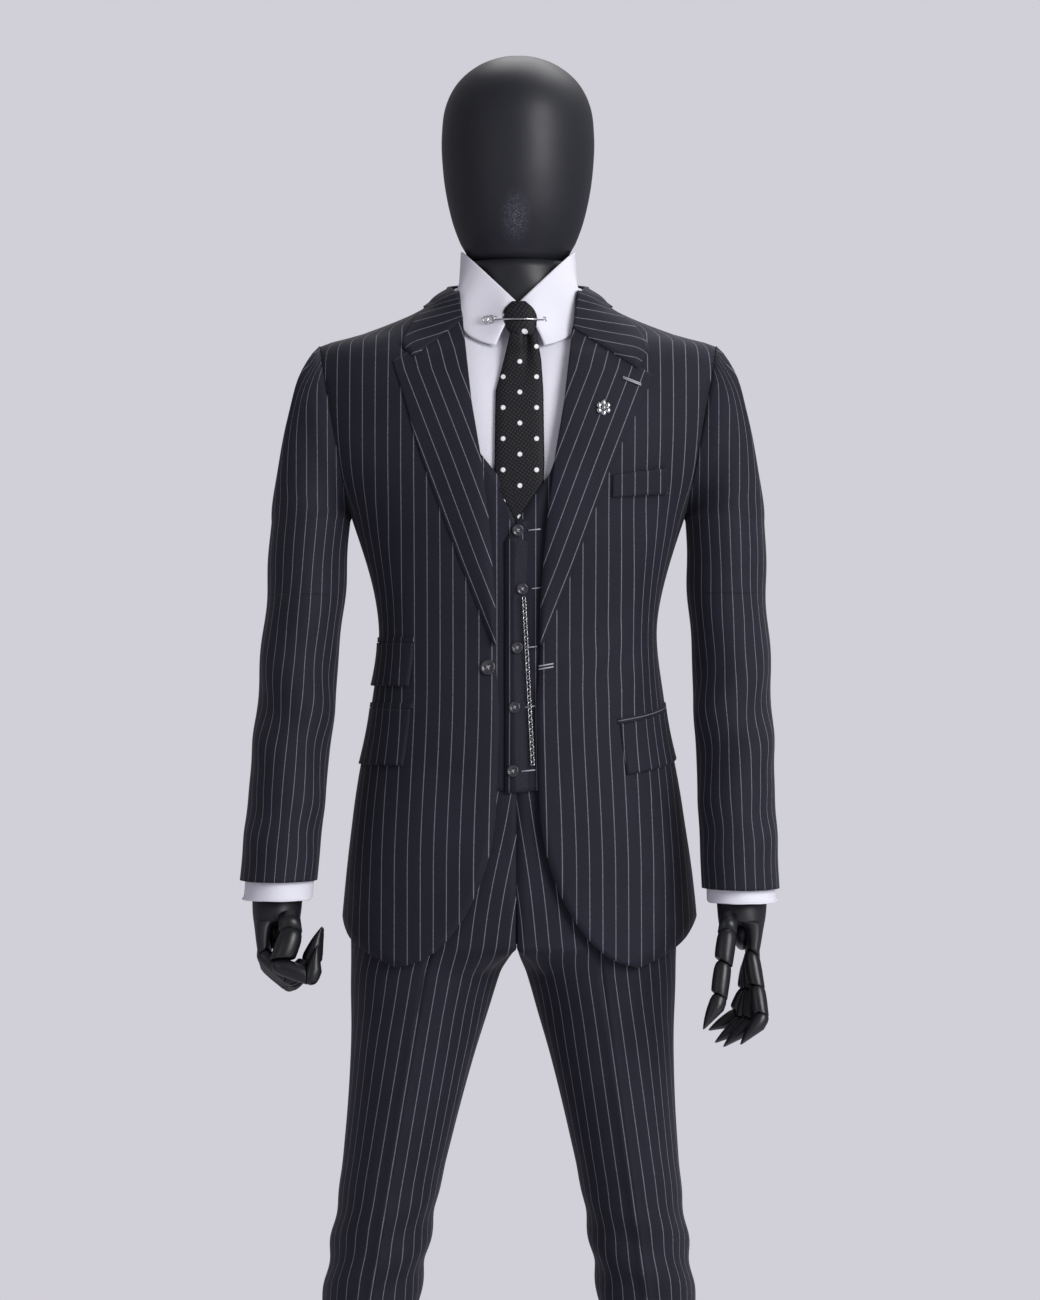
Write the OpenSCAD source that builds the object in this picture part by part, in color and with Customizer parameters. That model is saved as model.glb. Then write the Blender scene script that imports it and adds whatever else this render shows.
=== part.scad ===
// Full body menswear display mannequin: egg head, jointed arms and fingers, three-piece suit.
// Millimetres, +Z up, facing -Y, with the wearer's left at +X.
// The origin is under the neck, on the underside of the stand.

/* [Stand] */
// Length of the base plate, side to side
base_length = 620; // [600:10:720]
// Depth of the base plate, front to back
base_depth = 380; // [360:10:460]
// Thickness of the base plate
base_thickness = 8; // [5:1:12]
// Radius of the base plate's corners
base_corner = 60; // [20:5:100]
// Thickness of the anti-slip pad
pad_thickness = 2; // [1:0.5:4]
// Diameter of the foot rod
rod_diameter = 12; // [10:1:16]
// Height of the foot rod above the base plate
rod_height = 95; // [70:5:110]
// Diameter of the foot rod's flange, let into the sole
flange_diameter = 36; // [30:2:44]

/* [Body] */
// Sole to crotch
leg_length = 830; // [780:5:880]
// Crotch to the base of the neck
torso_length = 765; // [720:5:810]
// Height of the neck between torso and head
neck_height = 31; // [26:1:40]
// Width of the neck
neck_width = 118; // [108:2:126]
// Height of the head
head_height = 244; // [224:2:260]
// Width of the head
head_width = 180; // [164:2:196]
// Depth of the head, brow to back
head_depth = 226; // [206:2:246]
// Distance between the hip centres
hip_spacing = 194; // [190:2:200]
// Outward slope of the left leg, degrees
left_spread = 8; // [6:0.5:10]
// Outward slope of the right leg, degrees
right_spread = 9.5; // [6:0.5:10]
// Length of a foot from heel to toe
foot_length = 262; // [240:2:280]

/* [Suit] */
// Width of the jacket across the shoulder points
shoulder_width = 465; // [455:5:485]
// Width of the jacket at the armpits
chest_width = 392; // [384:2:400]
// Depth of the jacket at the chest
chest_depth = 240; // [230:2:260]
// Width of the jacket at the waist
waist_width = 330; // [320:2:344]
// Depth of the jacket at the waist
waist_depth = 200; // [194:2:214]
// Width of the jacket at the hem
hem_width = 422; // [410:2:426]
// Depth of the jacket at the hem
hem_depth = 250; // [240:2:270]
// Thickness of the jacket's cloth with its lining
cloth = 2.5; // [2:0.1:3]
// Thickness of the lighter cloth: waistcoat, trousers and shirt
light_cloth = 1.6; // [1.2:0.1:1.8]
// Height of the jacket's cutaway corner above the crotch, below it when negative
hem_drop = -27; // [-60:1:-10]
// Height of the jacket button above the crotch
button_height = 320; // [300:5:345]
// Diameter of the jacket button
button_diameter = 18; // [15:0.5:23]
// Width of the tie blade
tie_width = 57; // [50:1:62]
// Height of the waistcoat's points above the crotch
waistcoat_hem = 175; // [160:5:200]
// Half width of a trouser leg at the knee
knee_half = 57; // [55:1:60]
// Half width of a trouser leg at the hem
hem_half = 52; // [50:1:58]
// Height of the trouser hem above the sole
trouser_hem = 72; // [60:2:90]

/* [Arms] */
// Shoulder pivot to elbow
upper_arm_length = 290; // [280:5:300]
// Elbow to the wrist seam
forearm_length = 280; // [270:2:290]
// Outward slope of the left arm, degrees
left_lean = 2; // [1.5:0.5:4]
// Outward slope of the right arm, degrees
right_lean = 4.5; // [3:0.5:6]
// Bend of the elbow as it stands, degrees
elbow_bend = 14; // [8:1:20]
// Half width of the sleeve at the upper arm
sleeve_half = 47; // [45:1:50]
// Half width of the sleeve at the cuff
cuff_half = 45; // [43:1:48]
// Length of shirt cuff that shows below the sleeve
cuff_show = 17; // [12:1:24]

/* [Hands] */
// Wrist seam to the knuckle line
palm_length = 78; // [74:1:84]
// Width of the hand across the knuckles
palm_width = 82; // [80:1:88]
// Knuckle to middle joint
near_length = 40; // [38:1:43]
// Middle joint to tip joint
mid_length = 33; // [31:1:36]
// Tip joint to fingertip
tip_length = 34; // [30:1:36]
// Radius of a finger
finger_radius = 8.6; // [8:0.1:8.8]
// Radius of a finger's hinge pin
finger_pin = 1.6; // [1.3:0.1:2]
// Width of a hinge tongue
tongue_width = 6; // [5:0.2:7]

/* [Fits] */
// Gap between pieces that seat on each other
seat = 0.3; // [0.2:0.05:0.4]
// Gap across a turning joint's faces
joint_gap = 0.4; // [0.3:0.05:0.5]
// Running clearance of a pin in its bore
pin_clearance = 0.05; // [0.03:0.01:0.08]

/* [Hidden] */

skin_colour = "#1b1c22";
suit_colour = "#1d1e2b";
steel_colour = "#9a9ca3";

// Heights of the landmarks
sole_z = pad_thickness + base_thickness;
crotch_z = sole_z + leg_length;
neck_z = crotch_z + torso_length;
chin_z = neck_z + neck_height;
crown_z = chin_z + head_height;

hip_shift = -5;
ankle_height = 95;

// Places on the trunk, as shares of the torso length above the crotch
armpit_share = 0.646;
shoulder_share = 0.912;
function body_z(share) = crotch_z + share * torso_length;
armpit_z = body_z(armpit_share);
shoulder_z = body_z(shoulder_share);
split_z = body_z(0.27);

// ---- Smooth curves through tables of [key, value, ...] rows, keys rising ----

function row_of(t, k, i = 0) = i >= len(t) - 2 || k < t[i + 1][0] ? i : row_of(t, k, i + 1);

function slope(t, i, c) =
  let (lo = max(i - 1, 0), hi = min(i + 1, len(t) - 1))
  (t[hi][c] - t[lo][c]) / (t[hi][0] - t[lo][0]);

function curve(t, k, c = 1) =
  let (
    i = row_of(t, k),
    span = t[i + 1][0] - t[i][0],
    f = min(max((k - t[i][0]) / span, 0), 1),
    g = 1 - f
  )
  t[i][c] * g * g * (1 + 2 * f) + t[i + 1][c] * f * f * (3 - 2 * f)
  + slope(t, i, c) * span * f * g * g - slope(t, i + 1, c) * span * f * f * g;

function mix(a, b, f) = a * (1 - f) + b * f;
function ramp(v, lo, hi) = min(max((v - lo) / (hi - lo), 0), 1);
function power(v, e) = sign(v) * pow(abs(v), e);

// A point of an oval: t = 0 at the left side, 90 at the back, 270 at the front
roundness = 2.3;
function oval(a, front, back, t, n = roundness) =
  [a * power(cos(t), 2 / n), (sin(t) < 0 ? front : back) * power(sin(t), 2 / n)];

// ---- Lofted solids ----

// Quads between two neighbouring rings, cut into triangles
function ring_faces(k, n, wrap) =
  [for (j = [0:n - (wrap ? 1 : 2)]) each
    [[k * n + j, (k + 1) * n + j, (k + 1) * n + (j + 1) % n],
     [k * n + j, (k + 1) * n + (j + 1) % n, k * n + (j + 1) % n]]];

// Solid through closed rings, listed from the top down, capped at both ends
module loft(rings) {
  n = len(rings[0]);
  m = len(rings);
  caps = [[for (j = [0:n - 1]) j], [for (j = [n - 1:-1:0]) (m - 1) * n + j]];
  sides = [for (k = [0:m - 2]) each ring_faces(k, n, true)];
  polyhedron([for (r = rings) each r], concat(caps, sides));
}

// Cloth between an outer and an inner grid of points, rows from the top down
module cloth_sheet(outer, inner, wrap = false) {
  n = len(outer[0]);
  m = len(outer);
  total = n * m;
  out = [for (k = [0:m - 2]) each ring_faces(k, n, wrap)];
  in = [for (f = out) [f[2] + total, f[1] + total, f[0] + total]];
  steps = [for (j = [0:n - (wrap ? 1 : 2)]) [j, (j + 1) % n]];
  top = [for (s = steps) each [[s[0], s[1], s[1] + total], [s[0], s[1] + total, s[0] + total]]];
  low = [for (s = steps) let (b = (m - 1) * n) each
    [[b + s[1], b + s[0], b + s[0] + total], [b + s[1], b + s[0] + total, b + s[1] + total]]];
  ends = wrap ? [] : [for (k = [0:m - 2]) let (a = k * n, b = a + n, c = a + n - 1, d = b + n - 1) each
    [[b, a, a + total], [b, a + total, b + total], [c, d, d + total], [c, d + total, c + total]]];
  points = concat([for (r = outer) each r], [for (r = inner) each r]);
  polyhedron(points, concat(out, in, top, low, ends));
}

// ---- The trunk: one form that every layer of clothes follows ----

half_shoulder = shoulder_width / 2;
half_chest = chest_width / 2;
half_waist = waist_width / 2;
half_hem = hem_width / 2;

// [height, half width, depth to the front, depth to the back] of the jacket's outer face
trunk = [for (r = [
  [-0.06, half_hem, hem_depth * 0.49, hem_depth * 0.51],
  [0.04, half_hem - 2, hem_depth * 0.48, hem_depth * 0.51],
  [0.20, mix(half_waist, half_hem, 0.63), hem_depth * 0.45, hem_depth * 0.49],
  [0.35, mix(half_waist, half_hem, 0.2), waist_depth * 0.52, waist_depth * 0.55],
  [0.49, half_waist, waist_depth * 0.5, waist_depth * 0.5],
  [armpit_share, half_chest, chest_depth * 0.5, chest_depth * 0.45],
  [0.73, mix(half_chest, half_shoulder, 0.9), chest_depth * 0.525, chest_depth * 0.48],
  [0.837, half_shoulder + 20, chest_depth * 0.485, chest_depth * 0.475],
  [0.889, half_shoulder + 18, chest_depth * 0.41, chest_depth * 0.425],
  [shoulder_share, half_shoulder, chest_depth * 0.355, chest_depth * 0.385],
  [0.929, half_shoulder * 0.8, chest_depth * 0.33, chest_depth * 0.36],
  [0.966, half_shoulder * 0.5, chest_depth * 0.31, chest_depth * 0.34],
  [1.0, neck_width / 2 + 21, neck_width / 2 + 14, neck_width / 2 + 20],
  [1.035, neck_width / 2 + 17, neck_width / 2 + 12, neck_width / 2 + 17]
]) [body_z(r[0]), r[1], r[2], r[3]]];

// Depth of each layer below the jacket's outer face: [at the shoulders, on the body]
jacket_in = [cloth, cloth];
waistcoat_out = jacket_in + [2 * seat, 3];
waistcoat_in = waistcoat_out + light_cloth * [1, 1];
trousers_out = waistcoat_in + [2 * seat, 3.2];
trousers_in = trousers_out + light_cloth * [1, 1];
shirt_out = [waistcoat_in[0] + 2 * seat, trousers_in[1] + seat];
shirt_in = shirt_out + light_cloth * [1, 1];
torso_out = shirt_in + [2 * seat, 1.2];

function layer(z, t, d) =
  mix(d[1], d[0], ramp(z, body_z(0.837), body_z(0.9)) * ramp(sin(t), -0.43, -0.22));

// Straight between rows, and smooth below the shoulders
function linear(t, k, c = 1) =
  let (i = row_of(t, k))
  mix(t[i][c], t[i + 1][c], ramp(k, t[i][0], t[i + 1][0]));
function trunk_size(z, c) = z > body_z(0.966) ? linear(trunk, z, c) : curve(trunk, z, c);

function trunk_point(z, t, d) =
  let (q = is_list(d) ? layer(z, t, d) : d)
  concat(oval(trunk_size(z, 1) - q, trunk_size(z, 2) - q, trunk_size(z, 3) - q, t), z);

// Angle on the front of the trunk where a layer is x from the middle, past 90 when x is negative
function front_angle(z, x, d) =
  let (half = trunk_size(z, 1) - d, t = acos(power(min(abs(x) / half, 1), roundness / 2)))
  x > 0 ? -t : t - 180;

// The front of a layer at a height and a distance from the middle
function front_point(z, x, d) =
  let (p = trunk_point(z, front_angle(z, abs(x), d), d))
  [x, p[1], z];

// The armhole plane, from the armpit out to the shoulder point
armhole_tilt = atan((half_shoulder - half_chest) / (shoulder_z - armpit_z));
function armhole_x(z) = half_chest + (z - armpit_z) * tan(armhole_tilt);

// Everything outside both armhole planes, moved in by a distance
module beyond_armholes(inset) {
  reach = shoulder_width;
  for (side = [0, 1])
    mirror([side, 0, 0])
      translate([half_chest - inset, 0, armpit_z])
        rotate([0, armhole_tilt, 0])
          translate([0, -reach / 2, -seat])
            cube([reach, reach, reach]);
}

// ---- Stand ----

module rounded_plate(length, depth, thickness, corner) {
  linear_extrude(thickness)
    union() {
      square([length - 2 * corner, depth], center = true);
      square([length, depth - 2 * corner], center = true);
      for (x = [-1, 1], y = [-1, 1])
        translate([x * (length / 2 - corner), y * (depth / 2 - corner)])
          circle(corner, $fn = 64);
    }
}

base_y = -35;
pad_inset = 6;

module base_plate() {
  color("#2a2b30")
    translate([0, base_y, pad_thickness])
      rounded_plate(base_length, base_depth, base_thickness, base_corner);
}

module base_pad() {
  color("#141414")
    translate([0, base_y, 0])
      rounded_plate(base_length - 2 * pad_inset, base_depth - 2 * pad_inset, pad_thickness, base_corner - pad_inset);
}

flange_thickness = 5;
left_ankle_x = leg_x(1, sole_z + ankle_height);
rod_y = 22;

module foot_rod() {
  color(steel_colour)
    translate([left_ankle_x, rod_y, sole_z]) {
      cylinder(h = flange_thickness, d = flange_diameter, $fn = 48);
      cylinder(h = rod_height, d = rod_diameter, $fn = 32);
    }
}

// ---- Legs, hips, torso and head ----

function leg_x(side, z) =
  hip_shift + side * (hip_spacing / 2 + (crotch_z - z) * tan(side > 0 ? left_spread : right_spread));

leg_steps = 20;
leg_room = light_cloth + 6;

// Half widths of the trouser leg by height: [height, half width, half depth, centre y]
function leg_form() = [
  [sole_z + trouser_hem, hem_half, hem_half * 1.36, 12],
  [sole_z + leg_length * 0.27, hem_half + 1, hem_half * 1.38, 12],
  [sole_z + leg_length * 0.5, knee_half, knee_half * 1.3, 2],
  [sole_z + leg_length * 0.66, knee_half + 2, knee_half * 1.32, -2],
  [sole_z + leg_length * 0.83, hip_spacing * 0.37, knee_half * 1.5, 2],
  [crotch_z, hip_spacing / 2 - 1.5, leg_top_depth, 4]
];

function leg_ring(side, z, inset) =
  let (hw = curve(leg_form(), z, 1) - inset, hd = curve(leg_form(), z, 2) - inset)
  [for (j = [0:leg_steps - 1]) let (t = -j * 360 / leg_steps, p = oval(hw, hd, hd, t, 2.1))
    [leg_x(side, z) + p[0], curve(leg_form(), z, 3) + p[1], z]];

// Bare leg: [height above the sole, narrowing from the trouser leg]
leg_narrowing = [[ankle_height + 12, 15], [leg_length * 0.27, 5], [leg_length * 0.45, 7], [leg_length, 0]];

// Ankle and foot: [height, y, tilt of the section, half width, half depth]
foot_form = [for (r = [
  [0.36, 0.10, 0, 0.128, 0.165],
  [0.28, 0.085, 18, 0.13, 0.185],
  [0.18, 0.03, 48, 0.142, 0.2],
  [0.14, -0.13, 74, 0.15, 0.15],
  [0.1, -0.32, 88, 0.172, 0.11],
  [0.075, -0.50, 90, 0.185, 0.085],
  [0.06, -0.64, 90, 0.162, 0.062],
  [0.045, -0.71, 90, 0.10, 0.035]
]) [r[0] * foot_length, r[1] * foot_length, r[2], r[3] * foot_length, r[4] * foot_length]];
toe_out = 8;

function foot_ring(side, r) =
  [for (j = [0:leg_steps - 1]) let (
      t = -j * 360 / leg_steps,
      p = oval(r[3], r[4], r[4], t, 2),
      y = r[1] + p[1] * cos(r[2]),
      x = p[0] - side * min(y, 0) * tan(toe_out)
    )
    [leg_x(side, sole_z + ankle_height) + x, y, sole_z + max(r[0] - p[1] * sin(r[2]), 0)]];

module leg(side) {
  heights = [for (f = [1, 0.92, 0.82, 0.7, 0.6, 0.5, 0.42, 0.34, 0.27, 0.2, 0.14]) f * leg_length];
  color(skin_colour)
    difference() {
      loft(concat(
        [for (h = heights)
          leg_ring(side, sole_z + h - (h == leg_length ? seat : 0), leg_room + curve(leg_narrowing, h, 1))],
        [for (r = foot_form) foot_ring(side, r)]
      ));
      if (side > 0)
        translate([left_ankle_x, rod_y, 0]) {
          cylinder(h = sole_z + rod_height + seat, d = rod_diameter + 2 * pin_clearance, $fn = 32);
          cylinder(h = sole_z + flange_thickness + seat, d = flange_diameter + 2 * seat, $fn = 48);
        }
    }
}

module left_leg() leg(1);
module right_leg() leg(-1);

trunk_steps = 28;
function trunk_ring(z, d) = [for (j = [0:trunk_steps - 1]) trunk_point(z, -j * 360 / trunk_steps, d)];

// Seat of the trousers, drawn in towards the leg tops below the hips
leg_top_depth = hem_depth / 2 - trousers_out[1] - 12;

function seat_point(z, t, d) =
  let (
    inset = d[1] - trousers_out[1],
    drawn = concat(oval(hip_spacing - 2 - inset, leg_top_depth - inset, leg_top_depth - inset, t), z)
  )
  mix(drawn + [hip_shift, 4, 0], trunk_point(z, t, d), ramp(z, crotch_z, body_z(0.22)));

function seat_ring(z, d) = [for (j = [0:trunk_steps - 1]) seat_point(z, -j * 360 / trunk_steps, d)];

module hips() {
  heights = [split_z - seat, body_z(0.22), body_z(0.14), body_z(0.07), crotch_z];
  color(skin_colour)
    loft([for (z = heights) seat_ring(z, torso_out)]);
}

module torso() {
  shares = [0.29, 0.38, 0.49, 0.57, armpit_share, 0.71, 0.77, 0.837, 0.88, shoulder_share, 0.929, 0.966, 1];
  upper = [for (i = [len(shares) - 1:-1:0]) trunk_ring(body_z(shares[i]), torso_out)];
  neck = [for (f = [1, 0.3]) [for (j = [0:trunk_steps - 1])
    concat(oval(neck_width / 2, neck_width / 2, neck_width / 2, -j * 360 / trunk_steps, 2),
      neck_z + 3 + f * (neck_height - 3) - (f == 1 ? seat : 0))]];
  color(skin_colour)
    difference() {
      loft(concat(neck, upper, [trunk_ring(split_z, torso_out)]));
      beyond_armholes(joint_gap / 2);
    }
}

// Head: [share of its height above the chin, share of half width, half depth, centre y as a share of depth]
head_form = [
  [0, 0.58, 0.49, 0], [0.03, 0.655, 0.545, 0], [0.06, 0.7, 0.58, 0], [0.09, 0.75, 0.66, 0], [0.2, 0.86, 0.83, 0],
  [0.35, 0.95, 0.94, 0.01], [0.5, 0.995, 0.995, 0.02], [0.62, 1, 1, 0.02], [0.75, 0.955, 0.955, 0.02],
  [0.86, 0.81, 0.81, 0.015], [0.94, 0.57, 0.57, 0.01], [0.985, 0.29, 0.29, 0.005], [1, 0.06, 0.06, 0]
];
head_steps = 28;

module head() {
  shares = [1, 0.993, 0.98, 0.955, 0.92, 0.87, 0.81, 0.73, 0.62, 0.5, 0.38, 0.26, 0.16, 0.09, 0.06, 0.03, 0];
  color(skin_colour)
    loft([for (f = shares) [for (j = [0:head_steps - 1])
      let (
        hd = curve(head_form, f, 2) * head_depth / 2,
        p = oval(curve(head_form, f, 1) * head_width / 2, hd, hd, -j * 360 / head_steps, 2.05)
      )
      [p[0], p[1] + curve(head_form, f, 3) * head_depth, chin_z + f * head_height]]]);
}

// ---- Shirt, collar and tie ----

module shirt() {
  shares = [1, 0.966, 0.929, shoulder_share, 0.88, 0.837, 0.77, 0.71, armpit_share, 0.57, 0.49, 0.38, 0.29, 0.275];
  color("white")
    difference() {
      cloth_sheet(
        [for (s = shares) trunk_ring(body_z(s), shirt_out)],
        [for (s = shares) trunk_ring(body_z(s), shirt_in)],
        wrap = true
      );
      beyond_armholes(cloth);
    }
}

collar_height = 42;
collar_point = 66;
collar_steps = 32;
collar_rows = 3;
collar_ease = 1.8;

// Shirt collar: its top edge dips to the knot, and its points hang beside the knot
function collar_at(u, v, grow) =
  let (
    gap = mix(2, 20, v),
    t = mix(-90 + gap, 270 - gap, u),
    ahead = pow(max(-sin(t), 0), 4),
    top = neck_z + collar_height - ahead * 58,
    low = neck_z + seat - pow(max(-sin(mix(-90, 270, u)), 0), 11) * collar_point,
    side = neck_width / 2 + mix(8, 15.5, v) + grow,
    ry = neck_width / 2 + mix(9.5, 14.8 + 5.2 * ahead, v) + grow,
    z = mix(top, low, v),
    free = [side * cos(t), ry * sin(t), z],
    level = min(z, neck_z),
    laid = trunk_point(level, t, layer(level, t, shirt_out) - collar_ease - grow)
  )
  z < neck_z + 1 && norm([laid[0], laid[1]]) > norm([free[0], free[1]]) ? [laid[0], laid[1], z] : free;

module shirt_collar() {
  color("white")
    cloth_sheet(
      [for (k = [0:collar_rows]) [for (j = [0:collar_steps]) collar_at(1 - j / collar_steps, k / collar_rows, light_cloth)]],
      [for (k = [0:collar_rows]) [for (j = [0:collar_steps]) collar_at(1 - j / collar_steps, k / collar_rows, 0)]]
    );
}

knot_top = neck_z - 15;
knot_height = 41;
knot_low = knot_top - knot_height;
tie_tip = body_z(0.66);
tie_cloth = 2.6;
tie_x = 3;
knot_x = 1;
knot_back = -(neck_width / 2 + 11.5);
knot_belly = -13;
knot_round = 7;
tie_rows = 9;
blade_lift = 15;
blade_fall = 75;

// Half width of the tie blade by height
tie_form = [
  [tie_tip, 1], [tie_tip + tie_width * 0.5, tie_width / 2], [tie_tip + tie_width * 1.6, tie_width * 0.5],
  [tie_tip + tie_width * 2.6, tie_width * 0.49], [knot_low, tie_width * 0.25]
];

// The blade comes forward where it leaves the knot
function blade_row(z, d) =
  [for (j = [3:-1:-3]) let (x = tie_x + curve(tie_form, z, 1) * j / 3, ahead = pow(ramp(z, knot_low - blade_fall, knot_low), 2))
    front_point(z, x, shirt_out[1] - d) - [0, blade_lift * ahead, 0]];

module tie() {
  heights = [for (k = [0:tie_rows]) mix(knot_low + 6, tie_tip, k / tie_rows)];
  color("#17171d")
    union() {
      cloth_sheet([for (z = heights) blade_row(z, 2 * seat + tie_cloth)], [for (z = heights) blade_row(z, 2 * seat)]);
      hull() {
        for (x = [-1, 1])
          translate([knot_x + x * tie_width * 0.24, knot_back - 9, knot_top - 8])
            sphere(6, $fn = 12);
        for (x = [-1, 1])
          translate([knot_x + x * tie_width * 0.14, knot_back - 11, knot_low + 8])
            sphere(6, $fn = 12);
        translate([knot_x, knot_back + knot_belly, mix(knot_top, knot_low, 0.5)])
          sphere(knot_round, $fn = 12);
      }
    }
}

// The collar bar bows forward over the knot, with a post at each end back to the collar
bar_z = neck_z - 36;
bar_reach = 30;
bar_radius = 1.1;
bar_y = -(neck_width / 2 + 17.4);
bar_post = 6;
bar_bow = bar_y - (knot_back + knot_belly - knot_round - seat - bar_radius);
bar_bend = (bar_reach * bar_reach + bar_bow * bar_bow) / (2 * bar_bow);
bar_turn = asin(bar_reach / bar_bend);

module collar_bar() {
  color(steel_colour)
    translate([knot_x, bar_y, bar_z]) {
      translate([0, bar_bend - bar_bow, 0])
        rotate(-90 - bar_turn)
          rotate_extrude(angle = 2 * bar_turn, $fn = 64)
            translate([bar_bend, 0])
              circle(bar_radius, $fn = 24);
      for (end = [-1, 1])
        translate([end * bar_reach, 0, 0]) {
          sphere(bar_radius * 2, $fn = 24);
          rotate([-90, 0, 0])
            cylinder(h = bar_post, r = bar_radius, $fn = 24);
        }
    }
}

// ---- Waistcoat, jacket and what is on them ----

// Hem height at the left edge (u = 1), side, back, side and right edge (u = 0)
function hem_height(hem, u) = curve([[0, hem[0]], [0.22, hem[1]], [0.5, hem[2]], [0.78, hem[1]], [1, hem[0]]], u, 1);

// Columns of a front-opening garment: the sides and back keep the angles of the trunk's rings
front_columns = 6;
side_columns = trunk_steps / 2 + 4;
side_reach = 720 / trunk_steps;
function garment_angle(j, from, to) =
  j < front_columns ? mix(to, 180 + side_reach, j / front_columns)
  : j > front_columns + side_columns ? mix(-side_reach, from, (j - front_columns - side_columns) / front_columns)
  : 180 + side_reach - (j - front_columns) * 360 / trunk_steps;

// One row: level down to the fold height, then shared out down to the hem
function garment_row(level, fold, hem, left, right, d) =
  let (
    columns = 2 * front_columns + side_columns,
    drop = ramp(level, hem[1], fold),
    ends = level > fold ? level : mix(hem[0], fold, drop),
    depth = is_list(d) ? d[1] : d,
    from = front_angle(ends, linear(left, ends), depth),
    to = 180 - front_angle(ends, linear(right, ends), depth)
  )
  [for (j = [0:columns])
    trunk_point(level > fold ? level : mix(hem_height(hem, j / columns), fold, drop), garment_angle(j, from, to), d)];

module garment(shares, fold, hem, left, right, out, in) {
  levels = concat([for (s = shares) if (body_z(s) > hem[1] + 4) body_z(s)], [hem[1]]);
  cloth_sheet(
    [for (z = levels) garment_row(z, fold, hem, left, right, out)],
    [for (z = levels) garment_row(z, fold, hem, left, right, in)]
  );
}

overlap_x = -15;
waistcoat_v = body_z(0.607);

// Half openings of the waistcoat by height; the left front laps over to the right of the middle
waistcoat_left = [
  [crotch_z + waistcoat_hem, overlap_x + seat], [waistcoat_v, overlap_x + seat],
  [body_z(0.646), 3], [body_z(0.71), 37], [body_z(0.77), 53], [body_z(0.85), 66],
  [body_z(0.93), 92], [body_z(0.975), 88], [neck_z, 84]
];
waistcoat_right = [for (r = waistcoat_left) [r[0], max(r[1], -overlap_x + seat)]];

module waistcoat() {
  shares = [0.985, 0.966, 0.929, shoulder_share, 0.88, 0.837, 0.77, 0.71, armpit_share, 0.607, 0.57, 0.49, 0.42, 0.35, 0.29];
  side_hem = crotch_z + waistcoat_hem + 28;
  color(suit_colour)
    difference() {
      garment(shares, body_z(0.42), [crotch_z + waistcoat_hem, side_hem, side_hem - 4],
        waistcoat_left, waistcoat_right, waistcoat_out, waistcoat_in);
      beyond_armholes(8);
    }
}

jacket_shares = [
  0.993, 0.966, 0.929, shoulder_share, 0.88, 0.837, 0.77, 0.71, armpit_share, 0.57, 0.49, 0.42, 0.35, 0.28,
  0.21, 0.14, 0.08, 0.04, 0.02
];
cutaway_start = body_z(0.215);
cutaway_low = crotch_z + hem_drop;
cutaway_reach = hem_width * 0.27;
edge_gap = 25;
button_edge = 22;

// Half opening of the jacket by height: roll line above the button, round cutaway below
function cutaway(z) =
  let (s = ramp(-z, -cutaway_start, -cutaway_low))
  edge_gap + cutaway_reach * (1 - pow(1 - pow(min(s, 1), 1.8), 1 / 1.8));

jacket_edge = concat(
  [for (k = [8:-1:0]) let (z = mix(cutaway_start, cutaway_low, k / 8)) [z, cutaway(z)]],
  [[crotch_z + button_height - 50, button_edge], [crotch_z + button_height + 20, 27], [body_z(0.52), 27],
   [body_z(0.635), 34], [body_z(0.74), 44], [body_z(0.817), 54], [body_z(0.98), 68], [neck_z, 70]]
);

module jacket() {
  color(suit_colour)
    difference() {
      garment(jacket_shares, body_z(0.28), [cutaway_low, crotch_z + 2, crotch_z - 4], jacket_edge, jacket_edge, 0, cloth);
      beyond_armholes(0);
    }
}

lapel_in = -3 * seat;
lapel_out = lapel_in - 2;
notch_z = body_z(0.912);

// Outer edge of the lapel by height
lapel_edge = [
  [crotch_z + button_height + 30, 30], [body_z(0.574), 66], [body_z(0.722), 108],
  [body_z(0.88), 150], [notch_z, 128], [body_z(0.968), 73]
];

function lapel_row(z, d) =
  [for (j = [4:-1:0]) front_point(z, mix(linear(jacket_edge, z) - 0.5, linear(lapel_edge, z), j / 4), d)];

module lapel() {
  shares = [0.966, 0.929, shoulder_share, 0.88, 0.837, 0.77, 0.71, armpit_share, 0.57, 0.52];
  heights = concat([for (s = shares) body_z(s)], [crotch_z + button_height + 30]);
  cloth_sheet([for (z = heights) lapel_row(z, lapel_out)], [for (z = heights) lapel_row(z, lapel_in)]);
}

// Collar of the jacket: it stands at the neck and falls on the shoulders
function fall_at(u, v, d) =
  let (
    t = mix(-52, 232, u),
    back = ramp(90 - abs(t - 90), -52, 0),
    stand = mix(body_z(0.972), body_z(1.022), back),
    fall = mix(body_z(0.922), body_z(0.972), back)
  )
  trunk_point(mix(stand, fall, v), t, d);

collar_in = -2.6;

module jacket_collar() {
  cloth_sheet(
    [for (k = [0:3]) [for (j = [0:24]) fall_at(1 - j / 24, k / 3, collar_in - 2)]],
    [for (k = [0:3]) [for (j = [0:24]) fall_at(1 - j / 24, k / 3, collar_in)]]
  );
}

module lapels() {
  color(suit_colour) {
    for (side = [0, 1])
      mirror([side, 0, 0])
        lapel();
    jacket_collar();
  }
}

// A flap or welt on the jacket between two heights, from the left edge to the right edge
module flap(high, low, left, right, slant, lift, thickness) {
  function point(u, v, d) = trunk_point(mix(high, low, v) + slant * (1 - u), mix(left, right, u), d);
  cloth_sheet(
    [for (k = [0:3]) [for (j = [6:-1:0]) point(j / 6, k / 3, -lift - thickness)]],
    [for (k = [0:3]) [for (j = [6:-1:0]) point(j / 6, k / 3, -lift)]]
  );
}

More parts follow.
